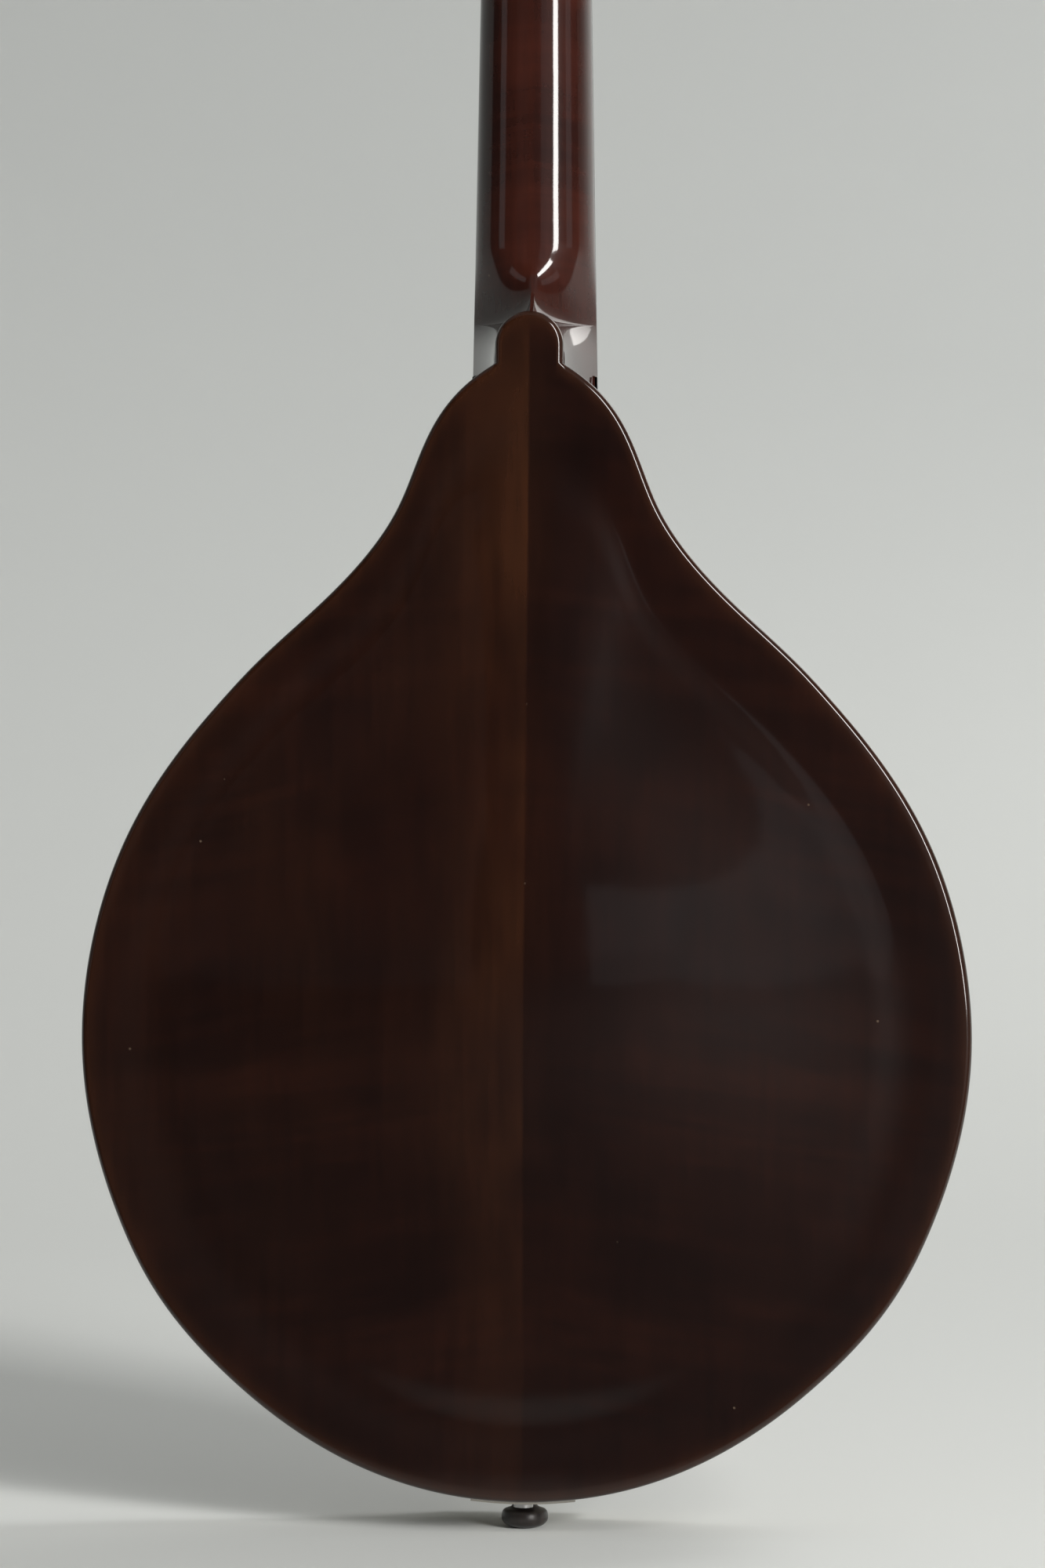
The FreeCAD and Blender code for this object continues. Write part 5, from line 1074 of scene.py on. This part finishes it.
def lacquered(name, deep, warm, amber, groups, glow=1.0, flame=0.5, burst=None):
    """Dark stained wood under clear lacquer, bare inside, warmer along the seam and in a lighter amber band
    along the back's edge."""
    material, tree, inputs, vector = new_material(name, Specular_IOR_Level=0.06, Coat_IOR=1.5,
                                                  Coat_Roughness=finish().gloss)
    grain = use_group(tree, groups["figure"], vector)
    wear = use_group(tree, groups["wear"], vector)
    tone = weighed(tree, grain["Flame"], flame, ramp(tree, grain["Drift"], 0.32, 0.72), 0.42, True)
    colour = blend_colours(tree, tone, tuple(deep), tuple(warm))
    colour = blend_colours(tree, seam_light(tree, vector, glow), colour, tuple(amber))
    if burst:
        middle, reach, light = burst
        colour = blend_colours(tree, sunburst(tree, vector, middle, reach), colour, tuple(light))
    # Lighter amber mixed into a band along the back's edge, strongest at the outline and fading out a few
    # millimetres in.
    edge_band = times(tree, math_node(tree, "POWER", mask(tree, "edge"), 3.0), 0.35 * glow)
    colour = blend_colours(tree, edge_band, colour, tuple(amber))
    fibre = ramp(tree, grain["Grain"], 0.28, 0.72)
    shading = blend_colours(tree, fibre, (0.55, 0.55, 0.55), (1.25, 1.25, 1.25))
    colour = blend_colours(tree, 0.35, colour, shading, "MULTIPLY")
    colour = blend_colours(tree, times(tree, wear["Specks"], 0.22), colour, (0.30, 0.22, 0.15))
    inside = mask(tree, "inside")
    bare = blend_colours(tree, fibre, (0.36, 0.22, 0.11), (0.52, 0.35, 0.19))
    tree.links.new(blend_colours(tree, inside, colour, bare), inputs["Base Color"])
    worn = weighed(tree, wear["Hairlines"], 0.10, wear["Specks"], 0.25)
    tree.links.new(plus(tree, plus(tree, times(tree, inside, 0.3), 0.42), worn), inputs["Roughness"])
    tree.links.new(less(tree, 1.0, inside, True), inputs["Coat Weight"])
    height = plus(tree, wear["Wave"], times(tree, grain["Grain"], 0.02))
    tree.links.new(raised(tree, height, 0.35, 0.00035), inputs["Normal"])
    tree.links.new(raised(tree, waviness(tree, vector), 0.35, 0.00035), inputs["Coat Normal"])
    return material


def plain_wood(name, dark, light, rough):
    """Unstained or dense wood: long fibres between two tones, with fine pores."""
    material, tree, inputs, vector = new_material(name)
    fibre = noise(tree, vector, (420.0, 420.0, 22.0), 4.0, 0.6)
    broad = noise(tree, vector, (50.4, 50.4, 2.64), 2.0)
    tone = ramp(tree, weighed(tree, fibre, 0.6, broad, 0.4), 0.32, 0.68)
    tree.links.new(blend_colours(tree, tone, tuple(dark), tuple(light)), inputs["Base Color"])
    tree.links.new(plus(tree, times(tree, fibre, 0.18), rough - 0.09), inputs["Roughness"])
    tree.links.new(raised(tree, fibre, 0.25, 0.00012), inputs["Normal"])
    return material


# where each strip of the rosette starts across it, and how light it is
STRIPS = ((0.0, 0.0), (0.09, 1.0), (0.18, 0.0), (0.27, 1.0), (0.34, 0.5), (0.66, 1.0), (0.73, 0.0),
          (0.82, 1.0),
          (0.91, 0.0))


def rosette_wood():
    """Ring of light and dark strips: stripes across it, and a twist of small dark and light blocks in the
    middle."""
    material, tree, inputs, vector = new_material("rosette_wood", Roughness=0.35, Coat_Weight=1.0,
                                                  Coat_Roughness=0.07)
    across = mask(tree, "across")
    out = vector_math(tree, "SUBTRACT", vector, (0, 0, HOLE_MIDDLE[1])).outputs[0]
    x, _, z = axes_of(tree, vector_math(tree, "MULTIPLY", out, (1 / HOLE[0], 1, 1 / HOLE[1])).outputs[0])
    angle = math_node(tree, "ARCTAN2", z, x)
    twist = math_node(tree, "SINE", weighed(tree, angle, 96.0, across, 7.0))
    rings = add(tree, "ShaderNodeValToRGB", links={0: across})
    rings.color_ramp.interpolation = "CONSTANT"
    for i, (at, value) in enumerate(STRIPS):
        stop = rings.color_ramp.elements[i] if i < 2 else rings.color_ramp.elements.new(at)
        stop.position, stop.color = at, (value, value, value, 1)
    strips = blend_colours(tree, rings.outputs[0], (0.012, 0.008, 0.006), (0.58, 0.42, 0.22))
    twisted = blend_colours(tree, ramp(tree, twist, -0.15, 0.15), (0.05, 0.018, 0.010), (0.50, 0.34, 0.17))
    middle = times(tree, ramp(tree, across, 0.338, 0.342), less(tree, 1.0, ramp(tree, across, 0.658, 0.662)))
    tree.links.new(blend_colours(tree, middle, strips, twisted), inputs["Base Color"])
    return material


def plastic(name, colour, streak, rough):
    """Cream plastic or bone with faint streaks and a soft gloss."""
    material, tree, inputs, vector = new_material(name, Subsurface_Weight=0.08,
                                                  Subsurface_Radius=(0.002, 0.0014, 0.0008))
    lines = noise(tree, vector, (60.0, 60.0, 420.0), 3.0, 0.5, 0.4)
    cloud = noise(tree, vector, 90.0)
    tone = ramp(tree, weighed(tree, lines, 0.6, cloud, 0.4), 0.3, 0.7)
    dark = tuple(c * k for c, k in zip(colour, streak))
    tree.links.new(blend_colours(tree, tone, dark, tuple(colour)), inputs["Base Color"])
    tree.links.new(plus(tree, times(tree, cloud, 0.12), rough), inputs["Roughness"])
    return material


def metal(name, colour, rough, brushed=(900.0, 60.0, 60.0), stain=0.25, wound=False):
    """Plated or plain metal with brushing lines, fingerprints and a little tarnish; wound wire has ridges."""
    material, tree, inputs, vector = new_material(name, Metallic=1.0)
    lines = noise(tree, vector, brushed, 3.0, 0.6)
    cloud = noise(tree, vector, 70.0, 4.0, 0.6)
    spots = ramp(tree, noise(tree, vector, 340.0, 3.0, 0.6), 0.60, 0.78)
    tone = weighed(tree, ramp(tree, cloud, 0.42, 0.75), stain, spots, 0.18, True)
    dull = tuple(c * k for c, k in zip(colour, (0.62, 0.56, 0.46)))
    tree.links.new(blend_colours(tree, tone, tuple(colour), dull), inputs["Base Color"])
    tree.links.new(plus(tree, weighed(tree, lines, 0.12, cloud, 0.16), rough - 0.12), inputs["Roughness"])
    if wound:
        ridges = add(tree, "ShaderNodeTexWave", {"Scale": 640.0, "Distortion": 0.0}, {"Vector": vector},
                     wave_type="BANDS", bands_direction="Z").outputs["Fac"]
        normal = raised(tree, ridges, 0.8, 0.00008)
    else:
        normal = raised(tree, lines, 0.12, 0.00003)
    tree.links.new(normal, inputs["Normal"])
    return material


def make_finishes():
    """Every finish, named after its slot; the neck has a redder one of its own."""
    look = finish()
    groups = {"figure": figure_group(), "wear": wear_group()}
    amber = look.lacquer_amber
    burst = ((0.0, -FRONT, CROWN + 0.015), (0.105, 0.2, 0.135), look.spruce_amber)
    lacquered("stained_maple", look.lacquer_deep, look.lacquer_warm, amber, groups)
    lacquered("stained_neck", (0.012, 0.0034, 0.0026), (0.050, 0.011, 0.006), (0.10, 0.022, 0.010), groups,
              glow=0.12, flame=0.35)
    lacquered("stained_spruce", (0.014, 0.0045, 0.003), (0.045, 0.014, 0.006), amber, groups, glow=0.0,
              flame=0.05,
              burst=burst)
    plain_wood("bare_wood", (0.40, 0.25, 0.12), (0.60, 0.42, 0.23), 0.62)
    plain_wood("ebony", (c * 0.6 for c in look.ebony), (c * 1.8 for c in look.ebony), 0.36)
    rosette_wood()
    plastic("ivory_plastic", look.ivory, (0.84, 0.78, 0.66), 0.16)
    plastic("bone", (0.74, 0.68, 0.54), (0.90, 0.86, 0.78), 0.28)
    metal("nickel_plate", look.nickel, 0.20)
    metal("fret_metal", (0.70, 0.68, 0.62), 0.24, (60.0, 60.0, 700.0))
    metal("steel", (0.52, 0.52, 0.53), 0.28, stain=0.35)
    metal("bronze_wound", (0.58, 0.36, 0.17), 0.30, stain=0.3, wound=True)


# finish of each CAD piece that keeps its own mesh
KEPT = {
    "bare_wood": ("neck_block", "tail_block", "top_linings", "back_linings", "top_brace"),
    "stained_neck": ("fingerboard_riser",),
    "ivory_plastic": ("position_dots",),
    "ebony": ("fingerboard", "bridge_base", "bridge_saddle", "truss_cover"),
    "bone": ("nut",),
    "fret_metal": ("frets",),
    "steel": ("truss_rod", "truss_nut", "truss_cover_screws", "bridge_studs", "tuner_plate_screws",
              "tailpiece_screws"),
    "nickel_plate": ("post_bushings", "tuner_plate_bass", "tuner_plate_treble", "tailpiece_frame",
                     "tailpiece_cover"),
}


def dress(piece, material):
    """Gives a CAD piece its finish, joined surfaces and smooth shading with crisp edges."""
    piece.data.materials.clear()
    piece.data.materials.append(material)
    piece.data.polygons.foreach_set("use_smooth", [True] * len(piece.data.polygons))
    piece.modifiers.new("joined surface", "WELD").merge_threshold = 1e-6
    sharpen(piece, 28)


# ---------------------------------------------------------------- the studio
def make_paper():
    """Pale paper, dark to the mirror rays that leave the back for the floor in front of it."""
    wall = tuple(studio().wall)
    material, tree, inputs, vector = new_material("room_paper", Roughness=0.9, Specular_IOR_Level=0.1)
    # Painted dark reflection: glossy rays that reach the floor on the camera's side of the back (ramping in
    # from y = 0.03 to 0.16 m) see it nearly black, so the back mirrors no pale floor.
    shade = times(tree, ramp(tree, axes_of(tree, vector)[1], 0.03, 0.16),
                  tree.nodes.new("ShaderNodeLightPath").outputs["Is Glossy Ray"])
    paper = blend_colours(tree, noise(tree, vector, 5.0, 4.0), tuple(c * 0.985 for c in wall), wall)
    tree.links.new(blend_colours(tree, shade, paper, (0.05, 0.05, 0.05)), inputs["Base Color"])
    return material


def make_room():
    """Floor and wall in one bowl: flat to the room's radius, then a quarter circle up into a straight
    wall."""
    flat, sweep, around = studio().room, 6.0, 96
    turn = np.linspace(0, RIGHT_ANGLE, 60)[1:]
    radius = np.r_[np.linspace(0.001, flat, 30), flat + sweep * np.sin(turn), flat + sweep][:, None]
    rise = np.r_[np.zeros(30), sweep * (1 - np.cos(turn)), sweep + 0.5][:, None]
    angle = np.linspace(0, TAU, around, endpoint=False)
    points = np.stack([radius * np.cos(angle), radius * np.sin(angle), rise + 0 * angle], -1).reshape(-1, 3)
    mesh = bpy.data.meshes.new("room")
    mesh.from_pydata(points.tolist(), [], [*grid_faces(len(radius), around, True).tolist(),
                                           list(range(around))])
    mesh.polygons.foreach_set("use_smooth", [True] * len(mesh.polygons))
    mesh.update()
    mesh.materials.append(make_paper())
    room = bpy.data.objects.new("room", mesh)
    bpy.context.scene.collection.objects.link(room)
    return room


def soft_light(name, power, size, place, target, colour=(1, 1, 1), glossy=True):
    """A rectangular light at a place, facing a target, seen by no camera."""
    data = bpy.data.lights.new(name, "AREA")
    data.shape = "RECTANGLE"
    data.size, data.size_y = size
    data.energy, data.color = power, colour
    lamp = bpy.data.objects.new(name, data)
    lamp.location = place
    lamp.rotation_euler = (Vector(target) - Vector(place)).to_track_quat("-Z", "Y").to_euler()
    lamp.visible_camera = False
    lamp.visible_glossy = glossy
    bpy.context.scene.collection.objects.link(lamp)
    return lamp


def around_back(azimuth, distance, height):
    """A place round the back: azimuth 0 is straight behind it, positive towards the bass side."""
    turn = math.radians(azimuth)
    return (-distance * math.sin(turn), distance * math.cos(turn), height)


def make_lights():
    """Strips and soft boxes for the back, a soft box for the front and washes for the room."""
    middle, cool, cooler = (0, 0, 0.3), (0.95, 0.97, 1.0), (0.93, 0.97, 1.0)
    return [
        soft_light("strip", 44, (0.34, 1.7), around_back(36, 2.0, 0.86), (0, 0, 0.4), (1.0, 0.985, 0.96)),
        soft_light("window", 0.115, (0.62, 0.40), around_back(16, 2.2, 0.36), middle, cooler),
        soft_light("window_pane", 0.02, (0.44, 0.26), around_back(13, 2.2, 0.42), middle, cooler),
        soft_light("left_panel", 0.10, (0.8, 1.1), around_back(-21, 2.2, 0.30), middle, cool),
        soft_light("left_strip", 0.95, (0.5, 1.6), around_back(-60, 2.2, 0.8), middle, cool),
        soft_light("right_strip", 0.95, (0.5, 1.6), around_back(64, 2.2, 0.8), middle, cool),
        soft_light("key", 62, (0.5, 0.5), around_back(44, 2.6, 0.86), (0, 0, 0.1), glossy=False),
        soft_light("front_box", 12, (1.2, 1.6), (-1.5, -2.1, 1.7), middle, (1.0, 0.98, 0.95)),
        soft_light("wall_wash", 125, (2.4, 2.0), (-2.6, -1.6, 3.6), (-0.9, -4.6, 1.2), glossy=False),
        soft_light("overhead", 9, (3.0, 3.0), (-0.9, -0.2, 4.4), (-0.3, -0.6, 0), glossy=False),
    ]


def make_world(scene):
    """Dim, even daylight from all round, and colours shown without a film look."""
    scene.world = bpy.data.worlds.new("studio")
    scene.world.use_nodes = True
    sky = scene.world.node_tree.nodes["Background"].inputs
    sky["Color"].default_value = (0.80, 0.83, 0.84, 1)
    sky["Strength"].default_value = 0.19
    scene.view_settings.view_transform = "Standard"
    scene.view_settings.look = "None"


def make_camera():
    """The camera behind the instrument, level, turned and rolled a little."""
    look = studio()
    data = bpy.data.cameras.new("camera")
    data.sensor_width = 36
    data.lens = data.sensor_width * look.distance / look.frame_height
    data.clip_end = 60
    aim = Vector((0.0011, FRONT, look.eye))
    place = aim + Vector((-math.sin(look.yaw), math.cos(look.yaw), 0)) * look.distance
    camera = bpy.data.objects.new("camera", data)
    turn = (aim - place).to_track_quat("-Z", "Y").to_matrix().to_4x4()
    camera.matrix_world = Matrix.Translation(place) @ turn @ Matrix.Rotation(look.roll, 4, "Z")
    bpy.context.scene.collection.objects.link(camera)
    bpy.context.scene.camera = camera
    return camera


# ---------------------------------------------------------------- operators, one for each group of pieces
def done(operator, message):
    """Reports a finished step."""
    operator.report({"INFO"}, message)
    return {"FINISHED"}


class MANDOLIN_OT_finishes(Operator):
    """Make every finish and its shared node groups"""

    bl_idname = "mandolin.finishes"
    bl_label = "Finishes"

    def execute(self, context):
        """Makes the materials."""
        make_finishes()
        return done(self, "Finishes made")


class MANDOLIN_OT_back(Operator):
    """Carve the back with its tongue over the heel"""

    bl_idname = "mandolin.back"
    bl_label = "Carved back"

    def execute(self, context):
        """Makes the back as one bookmatched piece."""
        island, masks = back_islands()
        make_piece("carved_back", [island], "instrument", ("back_bass_half", "back_treble_half"),
                   "stained_maple",
                   masks=masks, crisp=40)
        return done(self, "Back carved")


class MANDOLIN_OT_top(Operator):
    """Carve the top, with its sound hole, rosette and binding"""

    bl_idname = "mandolin.top"
    bl_label = "Carved top"

    def execute(self, context):
        """Makes the top, the ring let into it and the binding round it."""
        island, masks = top_islands()
        make_piece("carved_top", [island], "instrument", ("top_bass_half", "top_treble_half"),
                   "stained_spruce",
                   masks=masks, crisp=40)
        island, masks = rosette_islands()
        make_piece("rosette", [island], "instrument", ("soundhole_rosette",), "rosette_wood", masks=masks,
                   crisp=50)
        make_piece("binding", [binding_islands()], "instrument", ("top_binding",), "ivory_plastic", crisp=50)
        return done(self, "Top carved")


class MANDOLIN_OT_ribs(Operator):
    """Bend the two sides"""

    bl_idname = "mandolin.ribs"
    bl_label = "Sides"

    def execute(self, context):
        """Makes both sides."""
        for name, side in (("bass", -1), ("treble", 1)):
            island, masks = rib_islands(side)
            make_piece(f"side_{name}", [island], "instrument", (f"rib_{name}",), "stained_maple", masks=masks,
                       crisp=40)
        return done(self, "Sides bent")


class MANDOLIN_OT_neck(Operator):
    """Shape the neck, its heel and the peghead with its veneer"""

    bl_idname = "mandolin.neck"
    bl_label = "Neck"

    def execute(self, context):
        """Makes the stick, the peghead and the veneer."""
        make_piece("neck_wood", neck_islands(), "instrument", ("neck",), "stained_maple", "stained_neck",
                   crisp=38)
        veneer = head_slab(0.0, VENEER, 0.0002, 0.0, 0.0005)
        make_piece("peghead_veneer", [veneer], "instrument", ("head_veneer",), "ebony", crisp=38)
        return done(self, "Neck shaped")


class MANDOLIN_OT_tuners(Operator):
    """Turn the posts, worms and buttons"""

    bl_idname = "mandolin.tuners"
    bl_label = "Tuners"

    def execute(self, context):
        """Makes a post, its winding, a worm and a button for each string."""
        for pair in COURSES:
            for number in (0, 1):
                tag = f"{pair.name}{number + 1}"
                post, knob = f"post_{tag}", f"knob_{tag}"
                make_piece(f"tuner_post_{tag}", post_islands(pair, number), post, (post,), "nickel_plate",
                           crisp=35)
                make_piece(f"winding_{tag}", [winding_island(pair, number)], post, (), string_slot(pair))
                make_piece(f"tuner_worm_{tag}", worm_islands(pair, number), knob, (), "nickel_plate",
                           crisp=50)
                make_piece(f"tuner_button_{tag}", button_islands(pair, number), knob, (knob,),
                           "ivory_plastic")
        return done(self, "Tuners made")


class MANDOLIN_OT_strings(Operator):
    """String the instrument"""

    bl_idname = "mandolin.strings"
    bl_label = "Strings"

    def execute(self, context):
        """Makes each pair in two lengths that follow the saddle where they cross it."""
        for pair in COURSES:
            speaking, tail = string_islands(pair)
            node = (f"strings_{pair.name}",)
            upper = make_piece(f"pair_{pair.name}_speaking", speaking, None, node, string_slot(pair))
            lower = make_piece(f"pair_{pair.name}_tail", tail, None, (), string_slot(pair))
            hook, saddle, nut_front = string_route(pair, 0)[0][:3]
            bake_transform(upper)
            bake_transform(lower)
        return done(self, "Strung")


class MANDOLIN_OT_fittings(Operator):
    """Turn the end pin and the bridge's wheels, and finish the pieces that keep their own mesh"""

    bl_idname = "mandolin.fittings"
    bl_label = "Fittings"

    def execute(self, context):
        """Makes the turned fittings and dresses the rest."""
        make_piece("turned_pin", pin_islands(), "instrument", ("end_pin",), "ebony", crisp=45)
        for side in ("bass", "treble"):
            node = f"thumbwheel_{side}"
            make_piece(f"wheel_{side}", wheel_islands(node), node, (node,), "nickel_plate", crisp=30)
        for finish_name, nodes in KEPT.items():
            for node in nodes:
                dress(bpy.data.objects[node], finish_named(finish_name))
        return done(self, "Fittings made")


class MANDOLIN_OT_stage(Operator):
    """Set the studio: a seamless pale room, its lights and the camera"""

    bl_idname = "mandolin.stage"
    bl_label = "Studio"

    def execute(self, context):
        """Makes the room, the lights and the camera."""
        room = make_room()
        lights = make_lights()
        camera = make_camera()
        make_world(context.scene)
        return done(self, "Studio set")


class MANDOLIN_PT_build(Panel):
    """Steps and settings of the mandolin"""

    bl_idname = "MANDOLIN_PT_build"
    bl_label = "Mandolin"
    bl_space_type = "VIEW_3D"
    bl_region_type = "UI"
    bl_category = "Mandolin"

    def draw(self, context):
        """Lists the steps in order, then the settings."""
        column = self.layout.column(align=True)
        for step in STEPS:
            column.operator(step.bl_idname)
        for group in (context.scene.mandolin_sizes, context.scene.mandolin_finish,
                      context.scene.mandolin_studio):
            box = self.layout.box()
            for name in group.__annotations__:
                box.prop(group, name)


STEPS = (MANDOLIN_OT_finishes, MANDOLIN_OT_back, MANDOLIN_OT_top, MANDOLIN_OT_ribs, MANDOLIN_OT_neck,
         MANDOLIN_OT_tuners, MANDOLIN_OT_strings, MANDOLIN_OT_fittings, MANDOLIN_OT_stage)
GROUPS = (("mandolin_sizes", MandolinSizes), ("mandolin_finish", MandolinFinish),
          ("mandolin_studio", MandolinStudio))


def register():
    """Adds the classes and their settings to Blender."""
    for name, group in GROUPS:
        bpy.utils.register_class(group)
        setattr(bpy.types.Scene, name, PointerProperty(type=group))
    for made in (*STEPS, MANDOLIN_PT_build):
        bpy.utils.register_class(made)


def unregister():
    """Takes them out again."""
    for made in (MANDOLIN_PT_build, *reversed(STEPS)):
        bpy.utils.unregister_class(made)
    for name, group in reversed(GROUPS):
        delattr(bpy.types.Scene, name)
        bpy.utils.unregister_class(group)


def main():
    register()
    bpy.ops.mandolin.finishes()
    bpy.ops.mandolin.back()
    bpy.ops.mandolin.top()
    bpy.ops.mandolin.ribs()
    bpy.ops.mandolin.neck()
    bpy.ops.mandolin.tuners()
    bpy.ops.mandolin.strings()
    bpy.ops.mandolin.fittings()
    bpy.ops.mandolin.stage()


if __name__ == "__main__":
    main()
